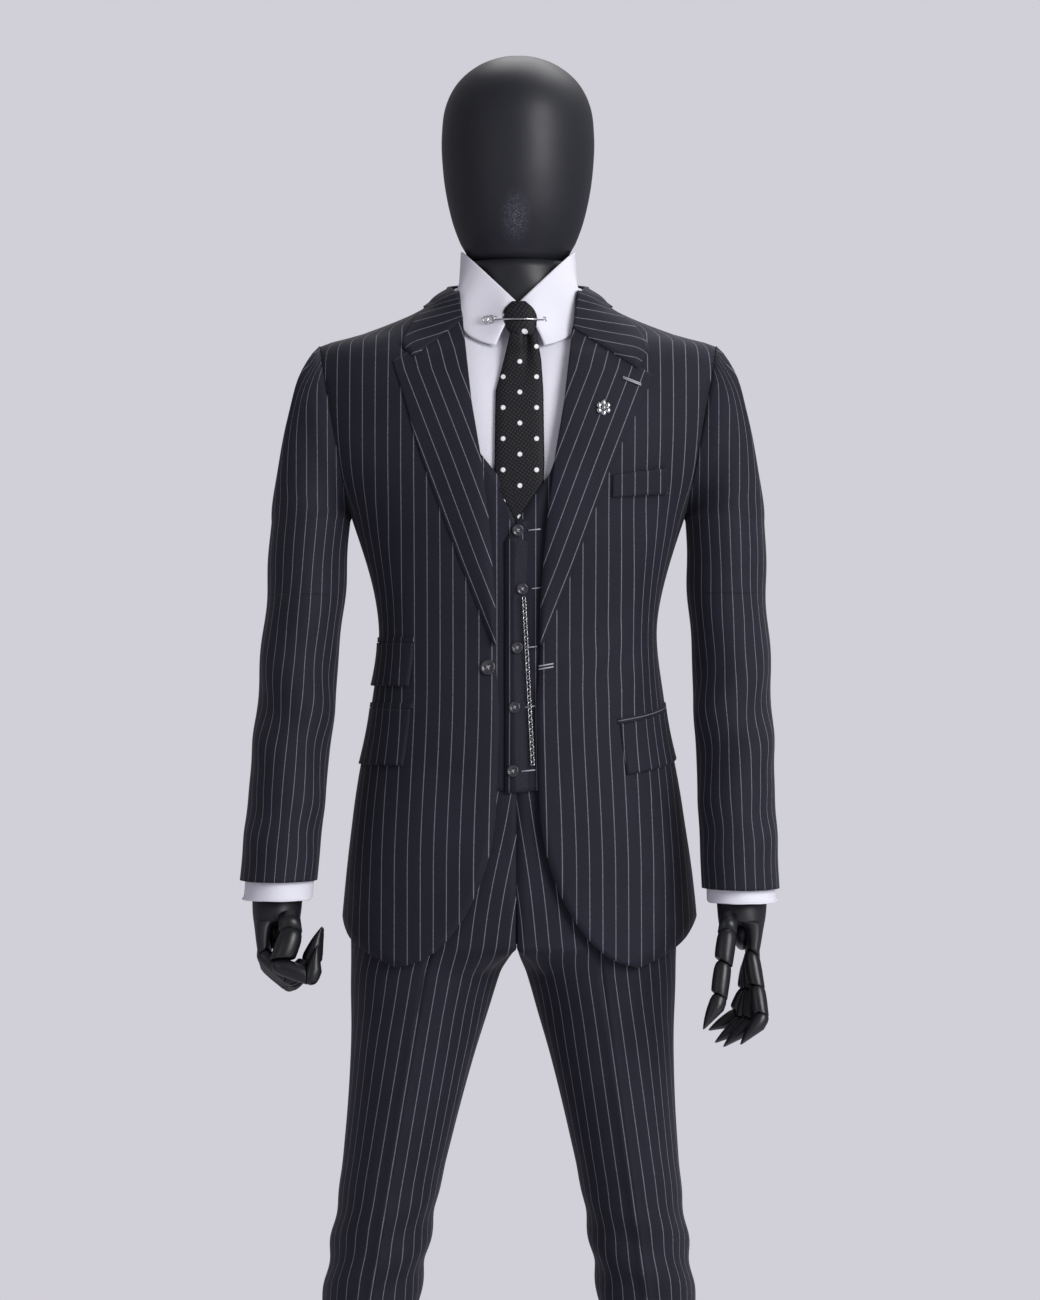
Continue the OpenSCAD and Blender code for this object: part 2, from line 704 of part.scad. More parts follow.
module pocket_flaps() {
  color(suit_colour) {
    flap(body_z(0.356), body_z(0.27), 228, 187, 0, 0.6, 2);
    flap(body_z(0.456), body_z(0.39), 222, 190, 0, 1.6, 2);
    mirror([1, 0, 0])
      flap(body_z(0.347), body_z(0.262), 228, 187, 12, 0.6, 2);
    flap(body_z(0.712), body_z(0.682), -41, -63, 6, 0.6, 1.5);
  }
}

// Buttons stand on the front of a layer
module button(x, z, d, diameter, lift) {
  p = front_point(z, x, d);
  side_slope = (front_point(z, x + 4, d)[1] - front_point(z, x - 4, d)[1]) / 8;
  rise_slope = (front_point(z + 4, x, d)[1] - front_point(z - 4, x, d)[1]) / 8;
  translate(p)
    rotate([90 - atan(rise_slope), 0, atan(side_slope)])
      translate([0, 0, lift])
        difference() {
          cylinder(h = 3.2, d = diameter, $fn = 40);
          translate([0, 0, 2])
            cylinder(h = 3.2, d = diameter * 0.68, $fn = 40);
        }
}

waistcoat_button = 14;
// [x, height, lift over the hollow of the waist]
waistcoat_buttons = [[0, 0.625, 0.1], [5, 0.537, 0.9], [-1, 0.448, 0.9], [-4, 0.358, 0.1], [-6, 0.262, 0.4]];

module buttons() {
  color("#101014") {
    button(-(button_edge + button_diameter * 0.7), crotch_z + button_height, 0, button_diameter, 0.5);
    for (b = waistcoat_buttons)
      button(b[0], body_z(b[1]), waistcoat_out[1], waistcoat_button, b[2]);
  }
}

link_radius = 2.6;
link_wire = 0.6;
link_pitch = 2 * (link_radius - link_wire) - 0.2;
chain_length = 190;
chain_drop = 11.5;
chain_top = [7, body_z(0.537) - chain_drop];
chain_end = [17, body_z(0.537) - chain_drop - chain_length];

module watch_chain() {
  count = floor(norm(chain_end - chain_top) / link_pitch);
  color(steel_colour)
    for (k = [0:count]) {
      f = k / count;
      at = mix(chain_top, chain_end, f);
      place = front_point(at[1], at[0], waistcoat_out[1] - link_radius - link_wire - seat);
      ahead = front_point(at[1] - 1, at[0], waistcoat_out[1] - link_radius - link_wire - seat);
      translate(place)
        rotate([atan(place[1] - ahead[1]), -atan((chain_end[0] - chain_top[0]) / chain_length), 45 + 90 * (k % 2)])
          rotate([90, 0, 0])
            rotate_extrude($fn = 24)
              translate([link_radius, 0])
                circle(link_wire, $fn = 16);
    }
}

pin_place = [101, body_z(0.819)];

module lapel_pin() {
  color(steel_colour)
    button(pin_place[0], pin_place[1], lapel_out, 19, 0);
}

// ---- Trousers ----

module trouser_leg(side) {
  heights = [for (f = [1, 0.95, 0.89, 0.82, 0.74, 0.65, 0.56, 0.46, 0.34, 0.2]) sole_z + f * leg_length];
  all = concat(heights, [sole_z + trouser_hem]);
  cloth_sheet(
    [for (z = all) leg_ring(side, z, 0)],
    [for (z = all) leg_ring(side, z, light_cloth)],
    wrap = true
  );
}

module trousers() {
  heights = [for (s = [0.29, 0.22, 0.14, 0.07, 0]) body_z(s)];
  color(suit_colour) {
    cloth_sheet([for (z = heights) seat_ring(z, trousers_out)], [for (z = heights) seat_ring(z, trousers_in)], wrap = true);
    trouser_leg(1);
    trouser_leg(-1);
  }
}

// ---- Arms ----

arm_steps = 20;
sleeve_depth = 66;
elbow_radius = 31;
elbow_tongue = 22;
elbow_pin = 5;
wrist_half = 28;
armpit_x = half_chest + joint_gap;
armpit_y = -6;
armhole_height = (shoulder_z - armpit_z) / cos(armhole_tilt);
pivot_drop = 83;
elbow_z = shoulder_z - pivot_drop - upper_arm_length + 3;
elbow_y = -22;

function lean(side) = side > 0 ? left_lean : right_lean;

// Middle of the sleeve at a height
function arm_x(side, z) = armpit_x + sleeve_half + (armpit_z - z) * tan(lean(side));
function arm_y(z) = z > elbow_z
  ? mix(elbow_y, armpit_y, ramp(z, elbow_z, armpit_z))
  : elbow_y - (elbow_z - z) * tan(elbow_bend);

// Ring in the fan from the armhole (f = 0) round the armpit to level (f = 1)
function fan_ring(f, start_width, end_width, depth, inset, low) =
  let (
    tilt = mix(90 - armhole_tilt, 0, f),
    w = mix(end_width, start_width, pow(1 - f, 3))
  )
  [for (j = [0:arm_steps - 1]) let (
      t = j * 360 / arm_steps,
      r = mix(low, w - inset, (1 - cos(t)) / 2),
      rim = armhole_depth(armpit_z + r * cos(armhole_tilt), sin(t) < 0) - inset,
      y = mix(power(sin(t), 0.01) * rim, (depth - inset) * sin(t) + armpit_y, f)
    )
    [armpit_x + r * cos(tilt), y, armpit_z + r * sin(tilt)]];

// Half depth of the jacket's armhole at a height
function armhole_depth(z, ahead) =
  let (
    level = min(max(z, armpit_z), shoulder_z),
    share = min(armhole_x(level) / curve(trunk, level, 1), 1)
  )
  curve(trunk, level, ahead ? 2 : 3) * pow(1 - pow(share, roundness), 1 / roundness);

function arm_ring(side, z, hw, hd) =
  [for (j = [0:arm_steps - 1]) let (t = j * 360 / arm_steps)
    [arm_x(side, z) - hw * cos(t), arm_y(z) + hd * sin(t), z]];

wrist_z = elbow_z - forearm_length * cos(elbow_bend);
sleeve_end = wrist_z - 8 + cuff_show;

function sleeve_width(z) = mix(cuff_half, sleeve_half, ramp(z, sleeve_end, armpit_z));
function sleeve_deep(z) = mix(cuff_half * 1.22, sleeve_depth, ramp(z, sleeve_end, armpit_z));

function sleeve_grid(side, inset) =
  concat(
    [for (f = [0, 0.12, 0.25, 0.4, 0.6, 0.8, 1]) fan_ring(f, armhole_height, 2 * sleeve_half, sleeve_depth, inset, inset)],
    [for (k = [1:7]) let (z = mix(armpit_z, sleeve_end, k / 7))
      arm_ring(side, z, sleeve_width(z) - inset, sleeve_deep(z) - inset)]
  );

module sleeve(side) {
  mirror([side > 0 ? 0 : 1, 0, 0])
    color(suit_colour)
      cloth_sheet(sleeve_grid(side, 0), sleeve_grid(side, cloth), wrap = true);
}

// Everything that the far piece of a hinge sweeps: hinge along X, bending towards -Y
module hinge_room(radius, width) {
  rotate([0, 90, 0])
    cylinder(h = width, r = radius, center = true, $fn = 48);
  translate([-width / 2, -3 * radius, -radius])
    cube([width, 3 * radius, 2 * radius]);
}

// The forearm's frame: origin at the elbow, forearm along -Z
module at_elbow(side) {
  mirror([side > 0 ? 0 : 1, 0, 0])
    translate([arm_x(side, elbow_z), elbow_y, elbow_z])
      rotate([-elbow_bend, -lean(side), 0])
        children();
}

upper_half = 34;
upper_deep = 34;
stump_low = 30;

module upper_arm(side) {
  arm_gap = cloth + 2 * seat;
  lower = [for (f = [0.2, 0.45, 0.7, 0.9, 1]) let (z = mix(armpit_z, elbow_z, f))
    arm_ring(side, z, upper_half, mix(upper_deep + 12, upper_deep, f))];
  upper = [for (f = [0, 0.15, 0.3, 0.45, 0.6, 0.8, 1])
    fan_ring(f, armhole_height, sleeve_half + upper_half, upper_deep + 14, arm_gap * (1 - f), mix(stump_low, sleeve_half - upper_half, f))];
  color(skin_colour)
    difference() {
      union() {
        mirror([side > 0 ? 0 : 1, 0, 0])
          loft(concat(upper, lower));
        at_elbow(side)
          rotate([0, 90, 0])
            cylinder(h = 2 * upper_half, r = elbow_radius, center = true, $fn = 48);
      }
      at_elbow(side) {
        hinge_room(elbow_radius + joint_gap, elbow_tongue + 2 * joint_gap);
        translate([-elbow_tongue / 2 - joint_gap, -elbow_radius * 2, -elbow_radius * 2])
          cube([elbow_tongue + 2 * joint_gap, elbow_radius * 4, elbow_radius * 2]);
      }
    }
  color(skin_colour)
    at_elbow(side)
      rotate([0, 90, 0])
        cylinder(h = elbow_tongue + 4 * joint_gap, r = elbow_pin, center = true, $fn = 32);
}

function forearm_ring(z, hw, hd) =
  [for (j = [0:arm_steps - 1]) let (t = -j * 360 / arm_steps) [hw * cos(t), hd * sin(t), z]];

// Forearm: [share of its length, half width, half depth]
forearm_form = [[0, 33, 35], [0.2, 34, 37], [0.45, 33, 37], [0.75, 29.5, 34], [1, wrist_half, 33]];
forearm_start = elbow_radius * 0.2;
function forearm_z(share) = mix(-forearm_start, -forearm_length + joint_gap / 2, share);

module forearm(side) {
  color(skin_colour)
    at_elbow(side)
      difference() {
        union() {
          difference() {
            loft([for (r = forearm_form) forearm_ring(forearm_z(r[0]), r[1], r[2])]);
            hinge_room(elbow_radius + joint_gap, 4 * elbow_radius);
          }
          rotate([0, 90, 0])
            cylinder(h = elbow_tongue, r = elbow_radius, center = true, $fn = 48);
          translate([-elbow_tongue / 2, -elbow_radius, -elbow_radius - 8])
            cube([elbow_tongue, 2 * elbow_radius, elbow_radius + 8]);
        }
        rotate([0, 90, 0])
          cylinder(h = 3 * elbow_radius, r = elbow_pin + pin_clearance, center = true, $fn = 32);
      }
}

// Shirt cuff: gathered on to the forearm, open round the wrist
module shirt_cuff(side) {
  gather = forearm_form[3];
  rows = [[forearm_z(gather[0]), gather[1] + seat, gather[2] + seat], [forearm_z(gather[0]) - 8, cuff_half - 9, 44],
          [forearm_z(gather[0]) - 18, cuff_half - 7, 46], [-forearm_length - 8, cuff_half - 6, 48]];
  color("white")
    at_elbow(side)
      cloth_sheet(
        [for (r = rows) forearm_ring(r[0], r[1] + light_cloth, r[2] + light_cloth)],
        [for (r = rows) forearm_ring(r[0], r[1], r[2])],
        wrap = true
      );
}

// ---- Hands ----

// The hand's frame: origin on the knuckle line, fingers along -Z, palm towards -X
knuckle_shift = 6;
module at_hand(side) {
  at_elbow(side)
    translate([knuckle_shift, 0, -forearm_length - palm_length])
      children();
}

finger_pitch = (palm_width - 2 * finger_radius) / 3;
finger_scale = [0.97, 1, 0.96, 0.84];
function finger_y(i) = -palm_width / 2 + finger_radius + i * finger_pitch;

// Bends as the hands stand, fingers from the index: [knuckle, middle joint, tip joint]
left_bends = [[-7, 2, 38], [2, 6, 34], [6, 10, 32], [12, 14, 30]];
right_bends = [[54, 88, 14], [56, 88, 14], [56, 86, 14], [54, 84, 14]];
left_thumb_bends = [10, 0, 12];
right_thumb_bends = [-15, 90, 90];
function bends(side, i) = i < 4
  ? (side > 0 ? left_bends : right_bends)[i]
  : (side > 0 ? left_thumb_bends : right_thumb_bends);

thumb_radius = 9;
thumb_root = [-28, -palm_width / 2 - thumb_radius - 1, 22];
thumb_lengths = [36, 38, 32];

// Room that the far piece of a finger hinge sweeps: hinge along Y, bending towards -X
module finger_room(width, radius) {
  rotate([0, 0, -90])
    hinge_room(radius, width);
}

module barrel(width, radius) {
  rotate([90, 0, 0])
    cylinder(h = width, r = radius, center = true, $fn = 32);
}

// The slot between a hinge's ears, open below and to the palm
module tongue_slot(radius) {
  slot = tongue_width + 2 * joint_gap;
  finger_room(slot, radius + joint_gap);
  translate([-2 * radius, -slot / 2, -2 * radius])
    cube([4 * radius, slot, 2 * radius]);
}

// One finger piece: a tongue at the top hinge, then ears and a pin, or a fingertip
module phalanx(length, r, last) {
  blunt = r * 0.42;
  difference() {
    union() {
      difference() {
        translate([0, 0, -length])
          cylinder(h = length, r1 = last ? blunt : r, r2 = r, $fn = 32);
        finger_room(4 * r, r + joint_gap);
      }
      if (last)
        translate([0, 0, -length])
          sphere(blunt, $fn = 24);
      else
        translate([0, 0, -length])
          intersection() {
            barrel(2 * r, r);
            cylinder(h = 2 * r, r = r, center = true, $fn = 32);
          }
      barrel(tongue_width, r - joint_gap / 2);
      translate([-r / 2, -tongue_width / 2, -r - 3])
        cube([r, tongue_width, r + 3]);
    }
    barrel(3 * r, finger_pin + pin_clearance);
    if (!last)
      translate([0, 0, -length])
        tongue_slot(r);
  }
  if (!last)
    translate([0, 0, -length])
      barrel(tongue_width + 4 * joint_gap, finger_pin);
}

// The chain of pieces of one finger (0 to 3) or the thumb (4): piece k of three
module finger_piece(side, i, k) {
  scale_by = i < 4 ? finger_scale[i] : 1;
  lengths = i < 4 ? scale_by * [near_length, mid_length, tip_length] : thumb_lengths;
  root = i < 4 ? [0, finger_y(i), 0] : thumb_root;
  r = i < 4 ? finger_radius : thumb_radius;
  bend = bends(side, i);
  color(skin_colour)
    at_hand(side)
      translate(root)
        rotate([0, bend[0], 0])
          if (k == 0)
            phalanx(lengths[0], r, false);
          else
            translate([0, 0, -lengths[0]])
              rotate([0, bend[1], 0])
                if (k == 1)
                  phalanx(lengths[1], r, false);
                else
                  translate([0, 0, -lengths[1]])
                    rotate([0, bend[2], 0])
                      phalanx(lengths[2], r, true);
}

block_low = 36;

module palm_shell() {
  hull() {
    translate([-knuckle_shift, 0, palm_length - joint_gap / 2 - 2])
      linear_extrude(2)
        polygon([for (j = [0:31]) oval(wrist_half, 33, 33, j * 360 / 32, 2)]);
    for (y = [-1, 1]) {
      translate([-26, y * palm_width * 0.28, block_low + 8])
        sphere(8, $fn = 16);
      translate([2, y * palm_width * 0.36, block_low + 8])
        sphere(12, $fn = 16);
    }
  }
  hull() {
    for (y = [-1, 1])
      translate([0, y * palm_width * 0.36, block_low + 6])
        sphere(12, $fn = 16);
    rotate([90, 0, 0])
      cylinder(h = palm_width, r = finger_radius, center = true, $fn = 32);
  }
  hull() {
    translate(thumb_root)
      barrel(2 * thumb_radius, thumb_radius);
    translate([thumb_root[0] + 10, thumb_root[1] + 20, block_low + 10])
      sphere(thumb_radius, $fn = 16);
  }
}

module palm(side) {
  color(skin_colour)
    at_hand(side) {
      difference() {
        palm_shell();
        for (i = [0:3])
          translate([0, finger_y(i), 0])
            tongue_slot(finger_radius);
        translate(thumb_root)
          tongue_slot(thumb_radius);
      }
      for (i = [0:3])
        translate([0, finger_y(i), 0])
          barrel(tongue_width + 4 * joint_gap, finger_pin);
      translate(thumb_root)
        barrel(tongue_width + 4 * joint_gap, finger_pin);
    }
}

module left_upper_arm() upper_arm(1);
module left_forearm() forearm(1);
module left_sleeve() sleeve(1);
module left_shirt_cuff() shirt_cuff(1);
module left_palm() palm(1);
module right_upper_arm() upper_arm(-1);
module right_forearm() forearm(-1);
module right_sleeve() sleeve(-1);
module right_shirt_cuff() shirt_cuff(-1);
module right_palm() palm(-1);
module left_thumb_base() finger_piece(1, 4, 0);
module left_thumb_middle() finger_piece(1, 4, 1);
module left_thumb_tip() finger_piece(1, 4, 2);
module left_index_near() finger_piece(1, 0, 0);
module left_index_middle() finger_piece(1, 0, 1);
module left_index_tip() finger_piece(1, 0, 2);
module left_long_near() finger_piece(1, 1, 0);
module left_long_middle() finger_piece(1, 1, 1);
module left_long_tip() finger_piece(1, 1, 2);
module left_ring_near() finger_piece(1, 2, 0);
module left_ring_middle() finger_piece(1, 2, 1);
module left_ring_tip() finger_piece(1, 2, 2);
module left_little_near() finger_piece(1, 3, 0);
module left_little_middle() finger_piece(1, 3, 1);
module left_little_tip() finger_piece(1, 3, 2);
module right_thumb_base() finger_piece(-1, 4, 0);
module right_thumb_middle() finger_piece(-1, 4, 1);
module right_thumb_tip() finger_piece(-1, 4, 2);
module right_index_near() finger_piece(-1, 0, 0);
module right_index_middle() finger_piece(-1, 0, 1);
module right_index_tip() finger_piece(-1, 0, 2);
module right_long_near() finger_piece(-1, 1, 0);
module right_long_middle() finger_piece(-1, 1, 1);
module right_long_tip() finger_piece(-1, 1, 2);
module right_ring_near() finger_piece(-1, 2, 0);
module right_ring_middle() finger_piece(-1, 2, 1);
module right_ring_tip() finger_piece(-1, 2, 2);
module right_little_near() finger_piece(-1, 3, 0);
module right_little_middle() finger_piece(-1, 3, 1);
module right_little_tip() finger_piece(-1, 3, 2);

base_plate();
base_pad();
foot_rod();
left_leg();
right_leg();
hips();
torso();
head();
shirt();
shirt_collar();
tie();
collar_bar();
waistcoat();
buttons();
watch_chain();
jacket();
lapels();
pocket_flaps();
lapel_pin();
trousers();
left_upper_arm();
left_forearm();
left_sleeve();
left_shirt_cuff();
left_palm();
right_upper_arm();
right_forearm();
right_sleeve();
right_shirt_cuff();
right_palm();
left_thumb_base();
left_thumb_middle();
left_thumb_tip();
left_index_near();
left_index_middle();
left_index_tip();
left_long_near();
left_long_middle();
left_long_tip();
left_ring_near();
left_ring_middle();
left_ring_tip();
left_little_near();
left_little_middle();
left_little_tip();
right_thumb_base();
right_thumb_middle();
right_thumb_tip();
right_index_near();
right_index_middle();
right_index_tip();
right_long_near();
right_long_middle();
right_long_tip();
right_ring_near();
right_ring_middle();
right_ring_tip();
right_little_near();
right_little_middle();
right_little_tip();
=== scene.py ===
import math

import bmesh
import bpy
from mathutils import Matrix, Vector, noise


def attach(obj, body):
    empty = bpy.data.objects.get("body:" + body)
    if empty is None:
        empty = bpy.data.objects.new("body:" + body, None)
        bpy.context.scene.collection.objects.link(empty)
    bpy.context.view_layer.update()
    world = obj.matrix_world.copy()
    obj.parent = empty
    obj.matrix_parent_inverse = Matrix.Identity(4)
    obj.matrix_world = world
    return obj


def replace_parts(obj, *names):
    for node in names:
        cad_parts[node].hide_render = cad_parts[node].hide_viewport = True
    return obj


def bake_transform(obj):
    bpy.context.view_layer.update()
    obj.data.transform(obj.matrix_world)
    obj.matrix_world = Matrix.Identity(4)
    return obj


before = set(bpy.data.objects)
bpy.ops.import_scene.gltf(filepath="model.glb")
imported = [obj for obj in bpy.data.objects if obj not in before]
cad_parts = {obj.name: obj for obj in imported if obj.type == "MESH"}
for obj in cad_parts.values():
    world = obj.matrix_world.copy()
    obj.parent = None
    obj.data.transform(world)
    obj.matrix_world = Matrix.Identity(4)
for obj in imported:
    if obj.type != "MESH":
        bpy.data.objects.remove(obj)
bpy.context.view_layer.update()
print("stage: frame loaded")

# camera and light -----------------------------------------------------------

view = {"height": 1.180, "across": 0.0024, "distance": 4.5, "lens": 105.6}
camData = bpy.data.cameras.new("portrait")
camData.lens = view["lens"]
camData.sensor_width = 36
camera = bpy.data.objects.new("portrait", camData)
camera.location = (view["across"], -view["distance"], view["height"])
camera.rotation_euler = (math.radians(90), 0, 0)
bpy.context.scene.collection.objects.link(camera)
bpy.context.scene.camera = camera
bpy.context.scene.view_settings.view_transform = "Standard"


def softLamp(name, place, target, size, watts):
    lampData = bpy.data.lights.new(name, "AREA")
    lampData.shape = "RECTANGLE"
    lampData.size, lampData.size_y = size
    lampData.energy = watts
    lamp = bpy.data.objects.new(name, lampData)
    lamp.location = place
    lamp.rotation_euler = (Vector(target) - Vector(place)).to_track_quat("-Z", "Y").to_euler()
    bpy.context.scene.collection.objects.link(lamp)


softLamp("keyBox", (2.3, -2.6, 2.3), (0.0, 0, 1.25), (1.6, 2.2), 105)
softLamp("fillBox", (-2.6, -2.8, 1.7), (0, 0, 1.1), (1.8, 2.2), 9)
softLamp("topBox", (0.4, 0.9, 3.3), (0, 0, 1.2), (2.0, 1.4), 30)


# plain helpers ----------------------------------------------------------------

def mix(a, b, f):
    return a * (1 - f) + b * f


def ramp(value, low, high):
    return min(max((value - low) / (high - low), 0.0), 1.0)


def ease(value, low, high):
    f = ramp(value, low, high)
    return f * f * (3 - 2 * f)


def power(value, exponent):
    return math.copysign(abs(value) ** exponent, value)


def bump(value, middle, width):
    return math.exp(-((value - middle) / width) ** 2)


def rowOf(rows, key):
    for i in range(1, len(rows) - 1):
        if key < rows[i][0]:
            return i - 1
    return len(rows) - 2


def linearAt(rows, key, column=1):
    i = rowOf(rows, key)
    return mix(rows[i][column], rows[i + 1][column], ramp(key, rows[i][0], rows[i + 1][0]))


def slopeAt(rows, i, column):
    low, high = max(i - 1, 0), min(i + 1, len(rows) - 1)
    return (rows[high][column] - rows[low][column]) / (rows[high][0] - rows[low][0])


def curveAt(rows, key, column=1):
    # smooth curve through rows of [key, value, ...]
    i = rowOf(rows, key)
    span = rows[i + 1][0] - rows[i][0]
    f = ramp(key, rows[i][0], rows[i + 1][0])
    g = 1 - f
    return (rows[i][column] * g * g * (1 + 2 * f) + rows[i + 1][column] * f * f * (3 - 2 * f)
            + slopeAt(rows, i, column) * span * f * g * g - slopeAt(rows, i + 1, column) * span * f * f * g)


def millimetres(rows):
    return [[value / 1000 for value in row] for row in rows]


# the figure under the clothes, in metres -----------------------------------------

figure = {"crotch": 0.840, "neck": 1.605, "chin": 1.636, "crown": 1.880, "sole": 0.010, "neckHalf": 0.059,
          "roundness": 2.3, "armpit": 1.33419, "shoulder": 1.53768, "armholeTilt": math.radians(10.169),
          "hipShift": -0.005, "legLength": 0.830}


def bodyZ(share):
    return mix(figure["crotch"], figure["neck"], share)


# height share, half width, depth in front, depth behind, of the jacket's outer face
trunkRows = [[bodyZ(r[0])] + [value / 1000 for value in r[1:]] for r in [
    [-0.06, 211, 122.5, 127.5], [0.04, 209, 120, 127.5], [0.20, 194, 112.5, 122.5], [0.35, 174.2, 104, 110],
    [0.49, 165, 100, 100], [0.646, 196, 120, 108], [0.73, 228.9, 126, 115.2], [0.837, 252.5, 116.4, 114],
    [0.889, 250.5, 98.4, 102], [0.912, 232.5, 85.2, 92.4], [0.929, 186, 79.2, 86.4], [0.966, 116.3, 74.4, 81.6],
    [1.0, 80, 73, 79], [1.035, 76, 71, 76]]]


def ovalPoint(half, front, back, angle, roundness=None):
    e = 2 / (roundness or figure["roundness"])
    c, s = math.cos(angle), math.sin(angle)
    return half * power(c, e), (front if s < 0 else back) * power(s, e)


def trunkSize(z, column):
    return linearAt(trunkRows, z, column) if z > bodyZ(0.966) else curveAt(trunkRows, z, column)


def trunkPoint(z, angle, depth=0.0):
    x, y = ovalPoint(trunkSize(z, 1) - depth, trunkSize(z, 2) - depth, trunkSize(z, 3) - depth, angle)
    return Vector((x, y, z))


def frontAngle(z, x, depth=0.0):
    # past the middle when x is negative
    half = trunkSize(z, 1) - depth
    angle = math.acos(min(abs(x) / half, 1) ** (figure["roundness"] / 2))
    return -angle if x > 0 else angle - math.pi


def frontPoint(z, x, depth=0.0):
    p = trunkPoint(z, frontAngle(z, abs(x), depth), depth)
    return Vector((x, p.y, z))


arcTables = {}


def frontArc(z, angle, depth=0.0):
    # length of cloth round the trunk from the middle of the front
    key = (round(z * 250), round(depth * 1000))
    if key not in arcTables:
        level = key[0] / 250
        last, total, table = trunkPoint(level, -math.pi / 2, depth), 0.0, [0.0]
        for k in range(1, 91):
            here = trunkPoint(level, -math.pi / 2 + math.pi * k / 90, depth)
            total += (here - last).length
            table.append(total)
            last = here
        arcTables[key] = table
    turn = angle + math.pi / 2
    turn = (turn + math.pi) % (2 * math.pi) - math.pi
    place = min(abs(turn) / math.pi * 90, 89.999)
    k = int(place)
    table = arcTables[key]
    return math.copysign(mix(table[k], table[k + 1], place - k), turn)


# materials ------------------------------------------------------------------------

def hexColour(text):
    values = []
    for i in (1, 3, 5):
        c = int(text[i:i + 2], 16) / 255
        values.append(c / 12.92 if c <= 0.04045 else ((c + 0.055) / 1.055) ** 2.4)
    return (*values, 1.0)


def newMaterial(name, colour, roughness, metallic=0.0, specular=0.5):
    material = bpy.data.materials.new(name)
    material.use_nodes = True
    shader = material.node_tree.nodes["Principled BSDF"]
    shader.inputs["Base Color"].default_value = hexColour(colour)
    shader.inputs["Roughness"].default_value = roughness
    shader.inputs["Metallic"].default_value = metallic
    shader.inputs["Specular IOR Level"].default_value = specular
    return material, shader


def addNode(material, kind, settings=None, links=None):
    # settings are properties or input values, links are input: (node, output)
    node = material.node_tree.nodes.new(kind)
    for key, value in (settings or {}).items():
        if isinstance(key, int) or key in node.inputs:
            node.inputs[key].default_value = value
        else:
            setattr(node, key, value)
    for key, (source, output) in (links or {}).items():
        material.node_tree.links.new(source.outputs[output], node.inputs[key])
    return node


def feed(material, shader, key, node, output):
    material.node_tree.links.new(node.outputs[output], shader.inputs[key])


def grain(material, shader, scale, strength, distance, coordinate="Object", detail=3.0):
    place = addNode(material, "ShaderNodeTexCoord")
    speck = addNode(material, "ShaderNodeTexNoise", {"Scale": scale, "Detail": detail}, {"Vector": (place, coordinate)})
    raised = addNode(material, "ShaderNodeBump", {"Strength": strength, "Distance": distance}, {"Height": (speck, 0)})
    feed(material, shader, "Normal", raised, 0)
    return speck


# worsted wool woven in a fine twill: matt, dark navy, with a soft sheen and a single pale thread every 15 mm
def suitWool(name, cloth="#181926", thread="#83818f", pitch=0.015, width=0.0008):
    material, shader = newMaterial(name, cloth, 0.78, specular=0.32)
    shader.inputs["Sheen Weight"].default_value = 0.08
    shader.inputs["Sheen Roughness"].default_value = 0.45
    laid = addNode(material, "ShaderNodeUVMap", {"uv_map": "cloth"})
    parts = addNode(material, "ShaderNodeSeparateXYZ", links={"Vector": (laid, 0)})
    turns = addNode(material, "ShaderNodeMath", {"operation": "MULTIPLY", 1: 1 / pitch}, {0: (parts, "X")})
    place = addNode(material, "ShaderNodeMath", {"operation": "FRACT"}, {0: (turns, 0)})
    middle = addNode(material, "ShaderNodeMath", {"operation": "SUBTRACT", 1: 0.5}, {0: (place, 0)})
    off = addNode(material, "ShaderNodeMath", {"operation": "ABSOLUTE"}, {0: (middle, 0)})
    line = addNode(material, "ShaderNodeMapRange", {"From Min": (width / 2 + 0.0003) / pitch,
                                                    "From Max": (width / 2 - 0.0003) / pitch}, {"Value": (off, 0)})
    objectPlace = addNode(material, "ShaderNodeTexCoord")
    nap = addNode(material, "ShaderNodeTexNoise", {"Scale": 650.0, "Detail": 2.0}, {"Vector": (objectPlace, "Object")})
    shade = addNode(material, "ShaderNodeTexNoise", {"Scale": 14.0, "Detail": 4.0}, {"Vector": (objectPlace, "Object")})
    broken = addNode(material, "ShaderNodeMapRange", {"From Min": 0.3, "From Max": 0.6, "To Min": 0.55}, {"Value": (nap, 0)})
    amount = addNode(material, "ShaderNodeMath", {"operation": "MULTIPLY"}, {0: (line, 0), 1: (broken, 0)})
    tone = addNode(material, "ShaderNodeMapRange", {"From Min": 0.3, "From Max": 0.7, "To Min": 0.82, "To Max": 1.16},
                   {"Value": (shade, 0)})
    ground = addNode(material, "ShaderNodeMix", {"data_type": "RGBA", "blend_type": "MULTIPLY", 0: 1.0,
                                                 6: hexColour(cloth)}, {7: (tone, 0)})
    colour = addNode(material, "ShaderNodeMix", {"data_type": "RGBA", 7: hexColour(thread)},
                     {0: (amount, 0), 6: (ground, 2)})
    feed(material, shader, "Base Color", colour, 2)
    # twill ribs drawn at 1.1 mm, twice the real pitch, so that they show
    ribs = addNode(material, "ShaderNodeTexWave", {"Scale": 290.0, "wave_type": "BANDS", "bands_direction": "DIAGONAL",
                                                   "Distortion": 1.5}, {"Vector": (laid, 0)})
    height = addNode(material, "ShaderNodeMath", {"operation": "MULTIPLY_ADD", 1: 0.6}, {0: (ribs, 1), 2: (nap, 0)})
    raised = addNode(material, "ShaderNodeBump", {"Strength": 0.22, "Distance": 0.0006}, {"Height": (height, 0)})
    feed(material, shader, "Normal", raised, 0)
    return material


